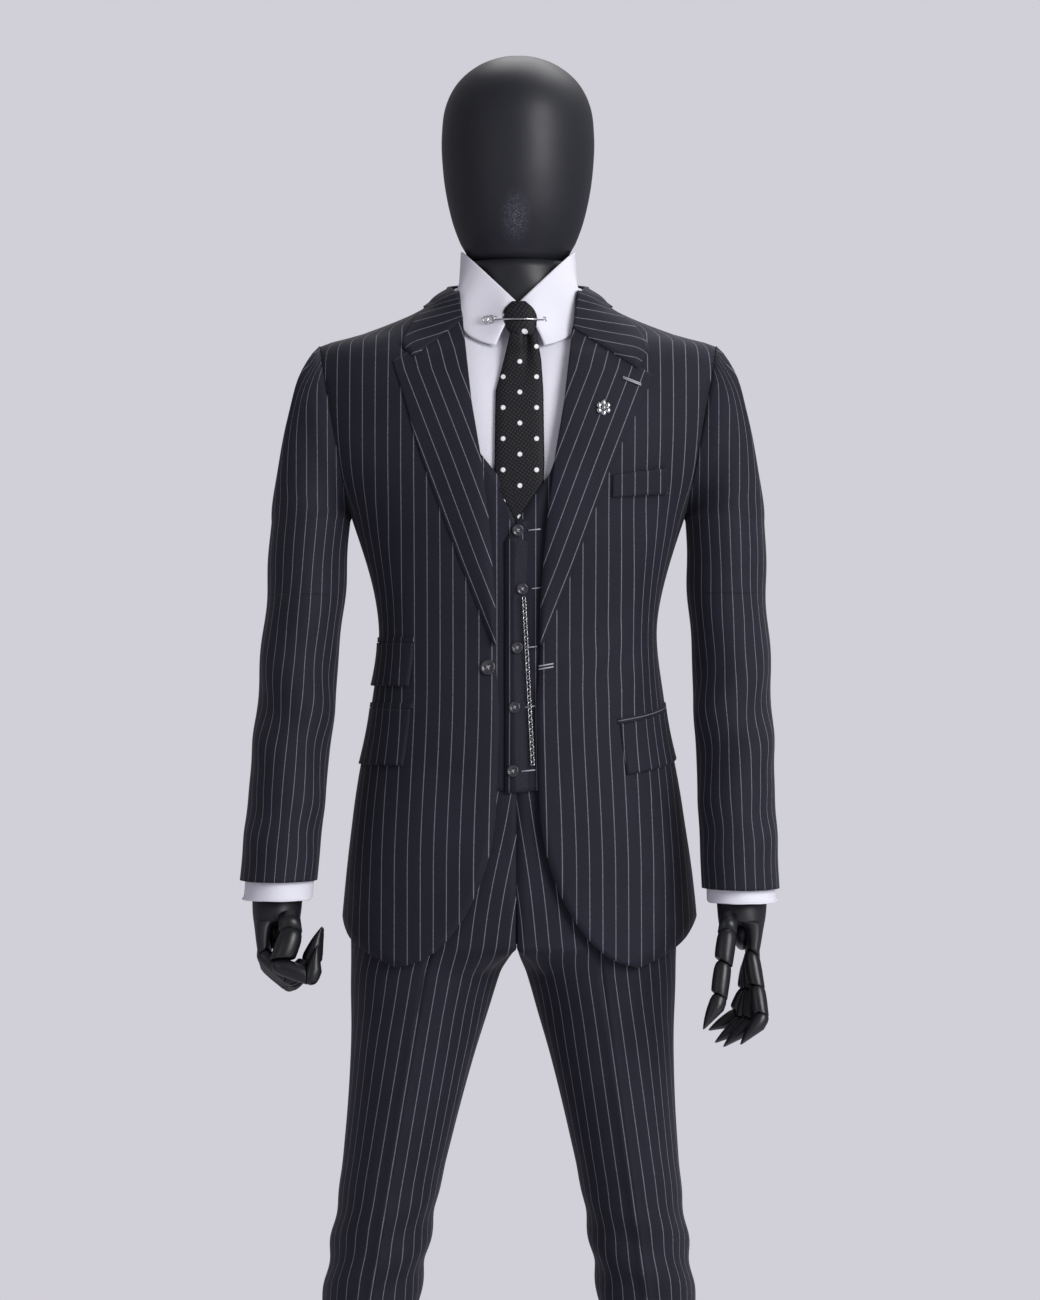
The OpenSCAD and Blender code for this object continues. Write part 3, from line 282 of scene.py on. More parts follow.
# cotton poplin: white, close plain weave, faintly rumpled
def shirtPoplin(name):
    material, shader = newMaterial(name, "#e9e8f2", 0.75, specular=0.3)
    shader.inputs["Sheen Weight"].default_value = 0.1
    place = addNode(material, "ShaderNodeTexCoord")
    soft = addNode(material, "ShaderNodeTexNoise", {"Scale": 22.0, "Detail": 3.0}, {"Vector": (place, "Object")})
    weave = addNode(material, "ShaderNodeTexNoise", {"Scale": 900.0, "Detail": 1.0}, {"Vector": (place, "Object")})
    height = addNode(material, "ShaderNodeMath", {"operation": "MULTIPLY_ADD", 1: 0.08}, {0: (weave, 0), 2: (soft, 0)})
    raised = addNode(material, "ShaderNodeBump", {"Strength": 0.12, "Distance": 0.004}, {"Height": (height, 0)})
    feed(material, shader, "Normal", raised, 0)
    return material


# woven silk grenadine: open black texture with embroidered white dots 6 mm across
def tieSilk(name, pitch=0.0360, column=0.0193, dot=0.0027):
    material, shader = newMaterial(name, "#101014", 0.62, specular=0.3)
    laid = addNode(material, "ShaderNodeUVMap", {"uv_map": "cloth"})
    parts = addNode(material, "ShaderNodeSeparateXYZ", links={"Vector": (laid, 0)})
    # two staggered sets of dots
    nearest = []
    for shiftX, shiftY in ((0.0, 0.0), (column, pitch / 2)):
        steps = []
        for axis, gap, shift in (("X", 2 * column, shiftX), ("Y", pitch, shiftY)):
            moved = addNode(material, "ShaderNodeMath", {"operation": "ADD", 1: shift + gap / 2}, {0: (parts, axis)})
            wrapped = addNode(material, "ShaderNodeMath", {"operation": "FLOORED_MODULO", 1: gap}, {0: (moved, 0)})
            steps.append(addNode(material, "ShaderNodeMath", {"operation": "SUBTRACT", 1: gap / 2}, {0: (wrapped, 0)}))
        offset = addNode(material, "ShaderNodeCombineXYZ", links={0: (steps[0], 0), 1: (steps[1], 0)})
        nearest.append(addNode(material, "ShaderNodeVectorMath", {"operation": "LENGTH"}, {0: (offset, 0)}))
    distance = addNode(material, "ShaderNodeMath", {"operation": "MINIMUM"},
                       {0: (nearest[0], "Value"), 1: (nearest[1], "Value")})
    spot = addNode(material, "ShaderNodeMapRange", {"From Min": dot + 0.0004, "From Max": dot - 0.0004},
                   {"Value": (distance, 0)})
    turned = addNode(material, "ShaderNodeMapping", {"Rotation": (0, 0, math.radians(35))}, {"Vector": (laid, 0)})
    cells = addNode(material, "ShaderNodeTexVoronoi", {"Scale": 280.0, "Randomness": 0.12}, {"Vector": (turned, 0)})
    fleck = addNode(material, "ShaderNodeMapRange", {"From Min": 0.15, "From Max": 0.45, "To Min": 1.0, "To Max": 0.0},
                    {"Value": (cells, 0)})
    weave = addNode(material, "ShaderNodeMix", {"data_type": "RGBA", 6: hexColour("#0a0a0c"), 7: hexColour("#2a2a31")},
                    {0: (fleck, 0)})
    colour = addNode(material, "ShaderNodeMix", {"data_type": "RGBA", 7: hexColour("#f2f2f4")},
                     {0: (spot, 0), 6: (weave, 2)})
    feed(material, shader, "Base Color", colour, 2)
    height = addNode(material, "ShaderNodeMath", {"operation": "MULTIPLY_ADD", 1: 0.7}, {0: (fleck, 0), 2: (spot, 0)})
    raised = addNode(material, "ShaderNodeBump", {"Strength": 0.5, "Distance": 0.0007}, {"Height": (height, 0)})
    feed(material, shader, "Normal", raised, 0)
    return material


# glass-fibre shell sprayed with matt black lacquer: fine spray texture and a broad soft highlight
def shellLacquer(name, colour="#1c1d23", roughness=0.46):
    material, shader = newMaterial(name, colour, roughness, specular=0.45)
    place = addNode(material, "ShaderNodeTexCoord")
    cloudy = addNode(material, "ShaderNodeTexNoise", {"Scale": 9.0, "Detail": 5.0}, {"Vector": (place, "Object")})
    gloss = addNode(material, "ShaderNodeMapRange", {"From Min": 0.3, "From Max": 0.7, "To Min": roughness - 0.05,
                                                     "To Max": roughness + 0.07}, {"Value": (cloudy, 0)})
    feed(material, shader, "Roughness", gloss, 0)
    spray = addNode(material, "ShaderNodeTexNoise", {"Scale": 1100.0, "Detail": 1.0}, {"Vector": (place, "Object")})
    raised = addNode(material, "ShaderNodeBump", {"Strength": 0.08, "Distance": 0.0003}, {"Height": (spray, 0)})
    feed(material, shader, "Normal", raised, 0)
    return material, shader, raised


# the same lacquer, rubbed and speckled where hands have held the front of the head
def headLacquer(name):
    material, shader, raised = shellLacquer(name, "#1e1f26", 0.50)
    place = addNode(material, "ShaderNodeTexCoord")
    centred = addNode(material, "ShaderNodeMapping", {"Location": (0.0, 0.0, -1.688), "Scale": (1 / 0.019, 0.0, 1 / 0.034)},
                      {"Vector": (place, "Object")})
    centred.vector_type = "POINT"
    centred.inputs["Location"].default_value = (0.003 / 0.019, 0.0, -1.680 / 0.034)
    reach = addNode(material, "ShaderNodeVectorMath", {"operation": "LENGTH"}, {0: (centred, 0)})
    near = addNode(material, "ShaderNodeMapRange", {"From Min": 1.0, "From Max": 0.1}, {"Value": (reach, "Value")})
    parts = addNode(material, "ShaderNodeSeparateXYZ", links={"Vector": (place, "Object")})
    facing = addNode(material, "ShaderNodeMapRange", {"From Min": -0.02, "From Max": -0.05}, {"Value": (parts, "Y")})
    specks = addNode(material, "ShaderNodeTexNoise", {"Scale": 780.0, "Detail": 4.0, "Roughness": 0.7},
                     {"Vector": (place, "Object")})
    bright = addNode(material, "ShaderNodeMapRange", {"From Min": 0.50, "From Max": 0.64}, {"Value": (specks, 0)})
    first = addNode(material, "ShaderNodeMath", {"operation": "MULTIPLY"}, {0: (near, 0), 1: (facing, 0)})
    rubbed = addNode(material, "ShaderNodeMath", {"operation": "MULTIPLY"}, {0: (first, 0), 1: (bright, 0)})
    colour = addNode(material, "ShaderNodeMix", {"data_type": "RGBA", 6: hexColour("#1e1f26"), 7: hexColour("#7d7d90")},
                     {0: (rubbed, 0)})
    feed(material, shader, "Base Color", colour, 2)
    return material


# moulded black nylon, satin, with faint mould flow
def handNylon(name):
    material, shader = newMaterial(name, "#17181c", 0.36, specular=0.5)
    place = addNode(material, "ShaderNodeTexCoord")
    flow = addNode(material, "ShaderNodeTexNoise", {"Scale": 45.0, "Detail": 3.0}, {"Vector": (place, "Object")})
    gloss = addNode(material, "ShaderNodeMapRange", {"From Min": 0.3, "From Max": 0.7, "To Min": 0.30, "To Max": 0.44},
                    {"Value": (flow, 0)})
    feed(material, shader, "Roughness", gloss, 0)
    fine = addNode(material, "ShaderNodeTexNoise", {"Scale": 700.0, "Detail": 1.0}, {"Vector": (place, "Object")})
    raised = addNode(material, "ShaderNodeBump", {"Strength": 0.06, "Distance": 0.0003}, {"Height": (fine, 0)})
    feed(material, shader, "Normal", raised, 0)
    return material


# mild steel plate, black powder coat: orange peel at about 1.5 mm
def powderCoat(name):
    material, shader = newMaterial(name, "#26272b", 0.5, specular=0.45)
    grain(material, shader, 420.0, 0.25, 0.0006)
    return material


# cast or drawn metal, polished bright
def polishedMetal(name, colour, roughness):
    material, shader = newMaterial(name, colour, roughness, metallic=1.0)
    worn = grain(material, shader, 900.0, 0.10, 0.0002)
    gloss = addNode(material, "ShaderNodeMapRange", {"From Min": 0.3, "From Max": 0.7, "To Min": roughness - 0.06,
                                                     "To Max": roughness + 0.1}, {"Value": (worn, 0)})
    feed(material, shader, "Roughness", gloss, 0)
    return material


# turned and polished buttons of dark horn, streaked
def buttonHorn(name):
    material, shader = newMaterial(name, "#1a1a1e", 0.22, specular=0.55)
    place = addNode(material, "ShaderNodeTexCoord")
    streak = addNode(material, "ShaderNodeTexNoise", {"Scale": 160.0, "Detail": 3.0, "Distortion": 2.0},
                     {"Vector": (place, "Object")})
    colour = addNode(material, "ShaderNodeMix", {"data_type": "RGBA", 6: hexColour("#0f0f12"), 7: hexColour("#4a4a52")},
                     {0: (streak, 0)})
    feed(material, shader, "Base Color", colour, 2)
    return material


wool = suitWool("worstedPinstripe")
poplin = shirtPoplin("cottonPoplin")
silk = tieSilk("silkGrenadine")
lacquer = shellLacquer("sprayedLacquer")[0]
headFinish = headLacquer("rubbedLacquer")
nylon = handNylon("mouldedNylon")
coat = powderCoat("powderCoatedSteel")
silver = polishedMetal("castSilverPlate", "#c4c4c6", 0.22)
dullSteel = polishedMetal("turnedSteel", "#8d8f94", 0.34)
horn = buttonHorn("polishedHorn")
rubber, rubberShader = newMaterial("mouldedRubber", "#141414", 0.8, specular=0.3)
grain(rubber, rubberShader, 300.0, 0.3, 0.0006)
stitching, stitchShader = newMaterial("silkButtonholeTwist", "#a9a7b2", 0.6)
grain(stitching, stitchShader, 800.0, 0.5, 0.0005)
print("stage: materials")


# mesh helpers -------------------------------------------------------------------------

def finishPiece(name, bm, material, body, smooth=True):
    mesh = bpy.data.meshes.new(name)
    bm.to_mesh(mesh)
    bm.free()
    for polygon in mesh.polygons:
        polygon.use_smooth = smooth
    mesh.materials.append(material)
    piece = bpy.data.objects.new(name, mesh)
    bpy.context.scene.collection.objects.link(piece)
    if body:
        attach(piece, body)
    return piece


def applyModifiers(piece):
    graph = bpy.context.evaluated_depsgraph_get()
    made = bpy.data.meshes.new_from_object(piece.evaluated_get(graph))
    piece.modifiers.clear()
    piece.data = made


def thicken(piece, thickness, offset=-1.0):
    wall = piece.modifiers.new("wall", "SOLIDIFY")
    wall.thickness = thickness
    wall.offset = offset
    return wall


# a grid of cloth laid by place(u, v), which gives a point and its distance across and along the cloth
def clothGrid(name, columns, rows, place, material, body, thickness, closed=False, fold=None, outward=None):
    bm = bmesh.new()
    bmesh.ops.create_grid(bm, x_segments=columns, y_segments=rows, size=0.5)
    laid = bm.loops.layers.uv.new("cloth")
    across = {}
    spots = {}
    for vert in bm.verts:
        u, v = vert.co.x + 0.5, 0.5 - vert.co.y
        point, s, t = place(u, v)
        across[vert.index] = (s, t)
        spots[vert.index] = (u, v)
        vert.co = point
    bm.verts.ensure_lookup_table()
    for face in bm.faces:
        for loop in face.loops:
            loop[laid].uv = across[loop.vert.index]
    bm.normal_update()
    if fold:
        moves = [(vert, vert.normal.copy() * fold(*spots[vert.index])) for vert in bm.verts]
        sample = sum((vert.normal.dot(outward(vert.co)) for vert in bm.verts), 0.0) if outward else 1.0
        sign = 1 if sample > 0 else -1
        for vert, move in moves:
            vert.co += move * sign
    if closed:
        bmesh.ops.remove_doubles(bm, verts=bm.verts, dist=0.00002)
    if outward:
        bm.normal_update()
        if sum(vert.normal.dot(outward(vert.co)) for vert in bm.verts) < 0:
            bmesh.ops.reverse_faces(bm, faces=bm.faces)
    else:
        bmesh.ops.recalc_face_normals(bm, faces=bm.faces)
    piece = finishPiece(name, bm, material, body)
    if thickness:
        thicken(piece, thickness)
    return piece


def fromAxis(point):
    return Vector((point.x, point.y, 0)).normalized()


# a closed form through rings of points, each ring extruded from the one above
def loftPiece(name, rings, material, body):
    bm = bmesh.new()
    count = len(rings[0])
    top = bmesh.ops.create_circle(bm, segments=count, radius=0.01)["verts"]
    for vert, point in zip(top, rings[0]):
        vert.co = point
    edges = list(bm.edges)
    ordered = list(top)
    for ring in rings[1:]:
        made = bmesh.ops.extrude_edge_only(bm, edges=edges)["geom"]
        newVerts = [g for g in made if isinstance(g, bmesh.types.BMVert)]
        edges = [g for g in made if isinstance(g, bmesh.types.BMEdge)
                 and g.verts[0] in newVerts and g.verts[1] in newVerts]
        lookup = {}
        for vert in newVerts:
            for edge in vert.link_edges:
                other = edge.other_vert(vert)
                if other in ordered:
                    lookup[ordered.index(other)] = vert
        ordered = [lookup[i] for i in range(count)]
        for vert, point in zip(ordered, ring):
            vert.co = point
    bmesh.ops.holes_fill(bm, edges=[e for e in bm.edges if e.is_boundary], sides=0)
    bmesh.ops.recalc_face_normals(bm, faces=bm.faces)
    return finishPiece(name, bm, material, body)


def wrinkle(point, size, height):
    return noise.noise(Vector(point) / size) * height


# head and neck -----------------------------------------------------------------------------

headForm = {"width": 0.180, "depth": 0.226, "height": 0.244, "roundness": 2.05, "rings": 64, "round": 72,
            "rows": [[0, 0.58, 0.49, 0], [0.03, 0.655, 0.545, 0], [0.06, 0.7, 0.58, 0], [0.09, 0.75, 0.66, 0],
                     [0.2, 0.86, 0.83, 0], [0.35, 0.95, 0.94, 0.01], [0.5, 0.995, 0.995, 0.02], [0.62, 1, 1, 0.02],
                     [0.75, 0.955, 0.955, 0.02], [0.86, 0.81, 0.81, 0.015], [0.94, 0.57, 0.57, 0.01],
                     [0.985, 0.29, 0.29, 0.005], [1, 0.02, 0.02, 0]]}


def headRing(share):
    f = headForm
    deep = curveAt(f["rows"], share, 2) * f["depth"] / 2
    ring = []
    for k in range(f["round"]):
        x, y = ovalPoint(curveAt(f["rows"], share, 1) * f["width"] / 2, deep, deep, 2 * math.pi * k / f["round"],
                         f["roundness"])
        ring.append(Vector((x, y + curveAt(f["rows"], share, 3) * f["depth"], figure["chin"] + share * f["height"])))
    return ring


head = loftPiece("eggHead", [headRing(math.sin(math.pi / 2 * k / headForm["rings"]) ** 0.9)
                             for k in range(headForm["rings"], -1, -1)], headFinish, "head")
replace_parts(head, "head")

bust = {"round": 72, "levels": 60}


def bustRing(k):
    z = mix(figure["chin"] - 0.0003, bodyZ(0.27), k / bust["levels"])
    ring = []
    for j in range(bust["round"]):
        angle = 2 * math.pi * j / bust["round"]
        depth = mix(0.015, 0.0075, ramp(z, bodyZ(0.837), bodyZ(0.9)) * ramp(math.sin(angle), -0.43, -0.22))
        if z > figure["neck"]:
            collar = ramp(z, figure["neck"], figure["neck"] + 0.0114)
            base = trunkPoint(figure["neck"], angle, depth)
            x, y = ovalPoint(figure["neckHalf"], figure["neckHalf"], figure["neckHalf"], angle, 2)
            ring.append(Vector((mix(base.x, x, ease(collar, 0, 1)), mix(base.y, y, ease(collar, 0, 1)), z)))
        else:
            p = trunkPoint(z, angle, depth)
            # the arms start at the armhole
            limit = 0.196 + (z - figure["armpit"]) * math.tan(figure["armholeTilt"]) - 0.0002
            if z > figure["armpit"] and abs(p.x) > limit:
                p.x = math.copysign(limit, p.x)
            ring.append(p)
    return ring


torsoShell = loftPiece("torsoShell", [bustRing(k) for k in range(bust["levels"] + 1)], lacquer, "body")
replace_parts(torsoShell, "torso")
print("stage: head and torso")

# jacket ------------------------------------------------------------------------------------------

jacket = {"cloth": 0.0025, "top": bodyZ(0.993), "fold": bodyZ(0.28),
          "hem": [[0, 0.813], [0.053, 0.828], [0.104, 0.844], [0.167, 0.866], [0.25, 0.868], [0.5, 0.850], [0.75, 0.868]],
          "cutawayStart": bodyZ(0.215), "cutawayLow": 0.813, "cutawayReach": 0.114, "edge": 0.025,
          "columns": 150, "rows": 150}


def cutaway(z):
    s = ramp(-z, -jacket["cutawayStart"], -jacket["cutawayLow"])
    return jacket["edge"] + jacket["cutawayReach"] * (1 - (1 - s ** 1.8) ** (1 / 1.8))


jacketEdge = [[mix(jacket["cutawayStart"], jacket["cutawayLow"], k / 24), 0] for k in range(24, -1, -1)]
jacketEdge = [[row[0], cutaway(row[0])] for row in jacketEdge] + [
    [1.110, 0.0215], [1.180, 0.0265], [bodyZ(0.52), 0.027], [bodyZ(0.635), 0.034], [bodyZ(0.74), 0.044],
    [bodyZ(0.817), 0.054], [bodyZ(0.98), 0.068], [figure["neck"], 0.070]]


def hemHeight(hem, u):
    return curveAt(hem, min(u, 1 - u))


backLines = {}


def backLine(depth, chest, panel):
    # the cloth's place at the middle of the back, a whole number of half repeats from the front
    if depth not in backLines:
        reach = trunkPoint(chest, panel - math.pi / 2, depth).x + frontArc(chest, math.pi / 2 - 0.0001, depth) - frontArc(
            chest, panel - math.pi / 2, depth)
        backLines[depth] = round(reach * 2 / 0.015) * 0.0075
    return backLines[depth]


def stripeAcross(z, angle, depth=0.0, chest=bodyZ(0.62), panel=math.radians(52)):
    # straight down the front and the back, with the shape of the side between them
    turn = (angle + math.pi / 2 + math.pi) % (2 * math.pi) - math.pi
    held = min(abs(turn), panel)
    across = trunkPoint(z, held - math.pi / 2, depth).x - 0.0075 * ease(-z, -1.14, -0.92) * min(abs(turn) * 4, 1)
    across += frontArc(chest, min(abs(turn), math.pi - 0.0001) - math.pi / 2, depth) - frontArc(chest, held - math.pi / 2, depth)
    middle = backLine(depth, chest, panel)
    across = mix(across, middle - abs(trunkPoint(z, angle, depth).x), ease(abs(turn), math.radians(78), math.radians(108)))
    return across if turn >= 0 else 2 * middle - across


def garmentPlace(u, v, top, fold, hem, left, right, depth):
    # hem rows run from the front edge round to the middle of the back
    highest = max(row[1] for row in hem)
    level = mix(top, highest, v)
    drop = ramp(level, highest, fold)
    ends = level if level > fold else mix(hem[0][1], fold, drop)
    z = level if level > fold else mix(hemHeight(hem, u), fold, drop)
    start = frontAngle(ends, linearAt(left, ends), depth)
    finish = math.pi - frontAngle(ends, linearAt(right, ends), depth)
    angle = mix(finish, start, u)
    return z, angle


def jacketPlace(u, v):
    z, angle = garmentPlace(u, v, jacket["top"], jacket["fold"], jacket["hem"], jacketEdge, jacketEdge, 0.0)
    p = trunkPoint(z, angle, 0.0)
    s = stripeAcross(z, angle) + 0.0075
    return p, s, z


def jacketFold(u, v):
    z, angle = garmentPlace(u, v, jacket["top"], jacket["fold"], jacket["hem"], jacketEdge, jacketEdge, 0.0)
    side = math.sin(angle)
    height = 0.0
    # soft pulls at the waist towards the button
    waist = bump(z, 1.165, 0.05) * bump(abs(angle + math.pi / 2) if angle < 0 else math.pi, 0.55, 0.35)
    height += 0.0018 * waist * math.sin(z * 95 + abs(angle) * 9)
    # the skirt ripples gently at the back and sides
    height += 0.0035 * ease(-z, -1.05, -0.86) * math.sin(angle * 5.0 + 0.8) * (0.35 + 0.65 * ramp(side, -0.6, 0.4))
    # drape below the armhole
    armhole = bump(z, 1.36, 0.06) * (bump(angle, -0.75, 0.25) + bump(angle, -2.39, 0.25))
    height -= 0.0035 * armhole
    height += wrinkle((angle * 0.2, 0, z * 0.6), 0.05, 0.0008)
    return height


jacketBody = clothGrid("jacketBody", jacket["columns"], jacket["rows"], jacketPlace, wool, "body", None,
                       fold=jacketFold, outward=fromAxis)


def cutArmholes(piece, inset=0.0):
    # open both armholes on their sloping planes
    bm = bmesh.new()
    bm.from_mesh(piece.data)
    tilt = figure["armholeTilt"]
    for side in (1, -1):
        normal = Vector((side * math.cos(tilt), 0, -math.sin(tilt)))
        point = Vector((side * (0.196 - inset), 0, figure["armpit"]))
        beyond = [f for f in bm.faces if f.calc_center_median().z > figure["armpit"] - 0.012]
        geom = list({v for f in beyond for v in f.verts} | {e for f in beyond for e in f.edges} | set(beyond))
        bmesh.ops.bisect_plane(bm, geom=geom, plane_co=point, plane_no=normal, dist=0.00005)
        gone = [f for f in bm.faces if (f.calc_center_median() - point).dot(normal) > 0.00002
                and f.calc_center_median().z > figure["armpit"] - 0.0005]
        bmesh.ops.delete(bm, geom=gone, context="FACES")
    bm.to_mesh(piece.data)
    bm.free()


cutArmholes(jacketBody)
thicken(jacketBody, jacket["cloth"])
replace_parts(jacketBody, "jacket")
print("stage: jacket body")

# lapels and collar: the lapel lies on the front, its stripes parallel to the outer edge
lapel = {"thick": 0.0022, "lift": 0.0014, "roll": 0.0045, "topIn": 1.560, "topOut": 1.506, "low": 1.186,
         "columns": 40, "rows": 100, "tilt": {1: -0.009, -1: 0.009}, "reach": {1: 0.009, -1: -0.009}}
lapelEdge = [[1.186, 0.029], [bodyZ(0.574), 0.066], [bodyZ(0.722), 0.108], [1.504, 0.151], [1.54, 0.160]]


def makeLapel(name, side):
    def place(u, v):
        # the wearer's left side hangs a little lower and wider
        zIn = mix(lapel["topIn"] + lapel["tilt"][side] * 0.55, lapel["low"], v)
        zOut = mix(lapel["topOut"] + lapel["tilt"][side], lapel["low"], v)
        inner = linearAt(jacketEdge, zIn) - 0.001
        outer = linearAt(lapelEdge, zOut) + lapel["reach"][side] * ease(zOut, 1.38, 1.51)
        x, z = mix(inner, outer, u), mix(zIn, zOut, u)
        swell = lapel["roll"] * math.sin(math.pi * u ** 0.7) * ease(v, 0, 0.08) * (0.4 + 0.6 * ease(v, 0.2, 0.9))
        p = frontPoint(z, x, -lapel["lift"] - swell)
        s = (linearAt(lapelEdge, min(z, 1.53)) + max(z - 1.53, 0) * 0.35 - x) * math.cos(math.atan(0.35))
        p.x *= side
        return p, s + 0.0035, z
    piece = clothGrid(name, lapel["columns"], lapel["rows"], place, wool, "body", lapel["thick"],
                      outward=lambda p: Vector((0, -1, 0)))
    return piece


lapels = [makeLapel("leftLapel", 1), makeLapel("rightLapel", -1)]

# share of the collar's length, then where its roll and its outer edge lie: x and height in front, angle behind
collarFall = {"thick": 0.0024, "columns": 170, "rows": 30, "length": 0.47, "lift": 0.0036,
              "notch": {1: (0.028, 0.84), -1: (0.0215, 0.80)}, "tilt": {1: -0.003, -1: 0.003},
              "roll": [[0, 64, 1560], [0.044, 66, 1571], [0.076, 67.5, 1581], [0.108, 69.5, 1589], [0.14, 71.5, 1597]],
              "rollBack": [[0.19, -26, 1604], [0.25, 0, 1608.5], [0.33, 28, 1614], [0.5, 90, 1624]],
              "outer": [[0, 144, 1532], [0.012, 140, 1542], [0.044, 130, 1560], [0.076, 121, 1571],
                        [0.108, 113, 1578], [0.14, 107, 1583]],
              "outerBack": [[0.2, 8, 1585], [0.29, 42, 1581], [0.5, 90, 1580]]}


def collarEdge(front, back, h, shift, reach):
    last = front[-1]
    if h <= last[0]:
        z, x = curveAt(front, h, 2) / 1000 + shift, curveAt(front, h, 1) / 1000 + reach
        return frontAngle(z, x, -collarFall["lift"]), z
    joined = [[last[0], math.degrees(frontAngle(last[2] / 1000, last[1] / 1000, -collarFall["lift"])), last[2]]] + back
    return math.radians(linearAt(joined, h, 1)), curveAt(joined, h, 2) / 1000


def collarPlace(u, v):
    half, side = (u, 1) if u <= 0.5 else (1 - u, -1)
    front = 1 - ease(half, 0.02, 0.13)
    rollAngle, rollZ = collarEdge(collarFall["roll"], collarFall["rollBack"], half, lapel["tilt"][side] * 0.6 * front, 0)
    outAngle, outZ = collarEdge(collarFall["outer"], collarFall["outerBack"], half, collarFall["tilt"][side] * front,
                                lapel["reach"][side] * front)
    lift = collarFall["lift"] + 0.003 * math.sin(math.pi * min(v * 1.3, 1)) * ease(half, 0.03, 0.2)
    z = mix(rollZ, outZ, v)
    flat = mix(trunkPoint(rollZ, rollAngle, -lift).x, trunkPoint(outZ, outAngle, -lift).x, v)
    deep, at = collarFall["notch"][side]
    notch = deep * min(v / at, (1 - v) / (1 - at)) * (1 - ramp(half, 0, 0.05)) ** 2
    if half < 0.12:
        # the front end follows the gorge seam down to the notch, then steps up to the collar's point
        p = frontPoint(z - notch, flat, -lift)
    else:
        p = trunkPoint(z, mix(rollAngle, outAngle, v), -lift)
        p = frontPoint(z, flat, -lift).lerp(p, ease(half, 0.12, 0.16)) if half < 0.16 else p
    p.x *= side
    return p, half * collarFall["length"] + 0.002 - notch * 1.36, v * 0.055


jacketCollar = clothGrid("jacketCollar", collarFall["columns"], collarFall["rows"], collarPlace, wool, "body",
                         collarFall["thick"], outward=fromAxis)
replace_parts(jacketCollar, "lapels")
for piece in lapels:
    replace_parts(piece, "lapels")
print("stage: lapels and collar")

# pockets ------------------------------------------------------------------------------------------

pockets = {"hipRight": {"z": (1.1120, 1.0465), "x": (0.124, 0.178), "slant": 0.0, "side": -1, "lift": 0.0012},
           "ticket": {"z": (1.1885, 1.1385), "x": (0.121, 0.168), "slant": 0.0, "side": -1, "lift": 0.0020},
           "hipLeft": {"z": (1.0940, 1.0360), "x": (0.118, 0.178), "slant": 0.018, "side": 1, "lift": 0.0012}}


def makeFlap(name, high, low, inner, outer, slant, side, lift, thick=0.0022, flare=0.002, across=False):
    def place(u, v):
        z = mix(high, low, v) + slant * u
        a0, a1 = frontAngle(high, inner), frontAngle(high, outer)
        angle = mix(a0, a1 * 0.62, u)
        p = trunkPoint(z, angle, -lift - flare * v * v - 0.0004 * math.sin(u * 9))
        s = 0.0075 + (v - 0.45) * 0.006 if across else stripeAcross(z, angle) + 0.0075
        p.x *= side
        return p, s, z
    piece = clothGrid(name, 26, 18, place, wool, "body", thick, outward=fromAxis)
    width = abs(frontArc(high, frontAngle(high, outer) * 0.62) - frontArc(high, frontAngle(high, inner)))
    return piece


flaps = []
for name, p in pockets.items():
    flaps.append(makeFlap(name + "Flap", p["z"][0], p["z"][1], p["x"][0], p["x"][1], p["slant"], p["side"], p["lift"]))
    flaps.append(makeFlap(name + "Jet", p["z"][0] + 0.0065, p["z"][0] + 0.0005, p["x"][0] - 0.003, p["x"][1], p["slant"],
                          p["side"], 0.0012, 0.0018, 0.0, p["side"] > 0))


def breastPlace(u, v):
    z = mix(1.3815 + 0.0085 * u, 1.3555 + 0.0055 * u, v)
    x = mix(0.109, 0.174, u)
    p = frontPoint(z, x, -0.0013 - 0.0006 * v)
    return p, stripeAcross(z, frontAngle(z, x)) + 0.0075, z


breastWelt = clothGrid("breastWelt", 24, 10, breastPlace, wool, "body", 0.0018, outward=fromAxis)
for piece in flaps + [breastWelt]:
    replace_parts(piece, "pocket_flaps")
print("stage: pockets")

# waistcoat -----------------------------------------------------------------------------------------

waistcoat = {"cloth": 0.0016, "depth": 0.0055, "top": bodyZ(0.985), "fold": bodyZ(0.42),
             "hem": [[0, 1.015], [0.22, 1.043], [0.5, 1.039], [0.78, 1.043]], "columns": 130, "rows": 120}
waistcoatLeft = [[1.015, -0.0147], [bodyZ(0.607), -0.0147], [bodyZ(0.646), 0.003], [bodyZ(0.71), 0.037],
                 [bodyZ(0.77), 0.053], [bodyZ(0.85), 0.066], [bodyZ(0.93), 0.092], [bodyZ(0.975), 0.088],
                 [figure["neck"], 0.084]]
waistcoatRight = [[1.015, -0.008], [1.318, -0.008], [1.353, 0.0005], [1.3875, 0.0285], [1.4104, 0.0465],
                  [1.436, 0.056], [bodyZ(0.85), 0.066], [bodyZ(0.93), 0.092], [bodyZ(0.975), 0.088],
                  [figure["neck"], 0.084]]


def waistcoatPlace(u, v):
    z, angle = garmentPlace(u, v, waistcoat["top"], waistcoat["fold"], waistcoat["hem"], waistcoatLeft, waistcoatRight,
                            waistcoat["depth"])
    depth = mix(waistcoat["depth"], 0.0031, ramp(z, bodyZ(0.837), bodyZ(0.9)) * ramp(math.sin(angle), -0.43, -0.22))
    if u < 0.5:
        # the wearer's right front tucks under the left
        depth += 0.0024 * ease(trunkPoint(z, angle, depth).x, -0.034, -0.018)
    return trunkPoint(z, angle, depth), stripeAcross(z, angle, waistcoat["depth"]) + 0.002, z


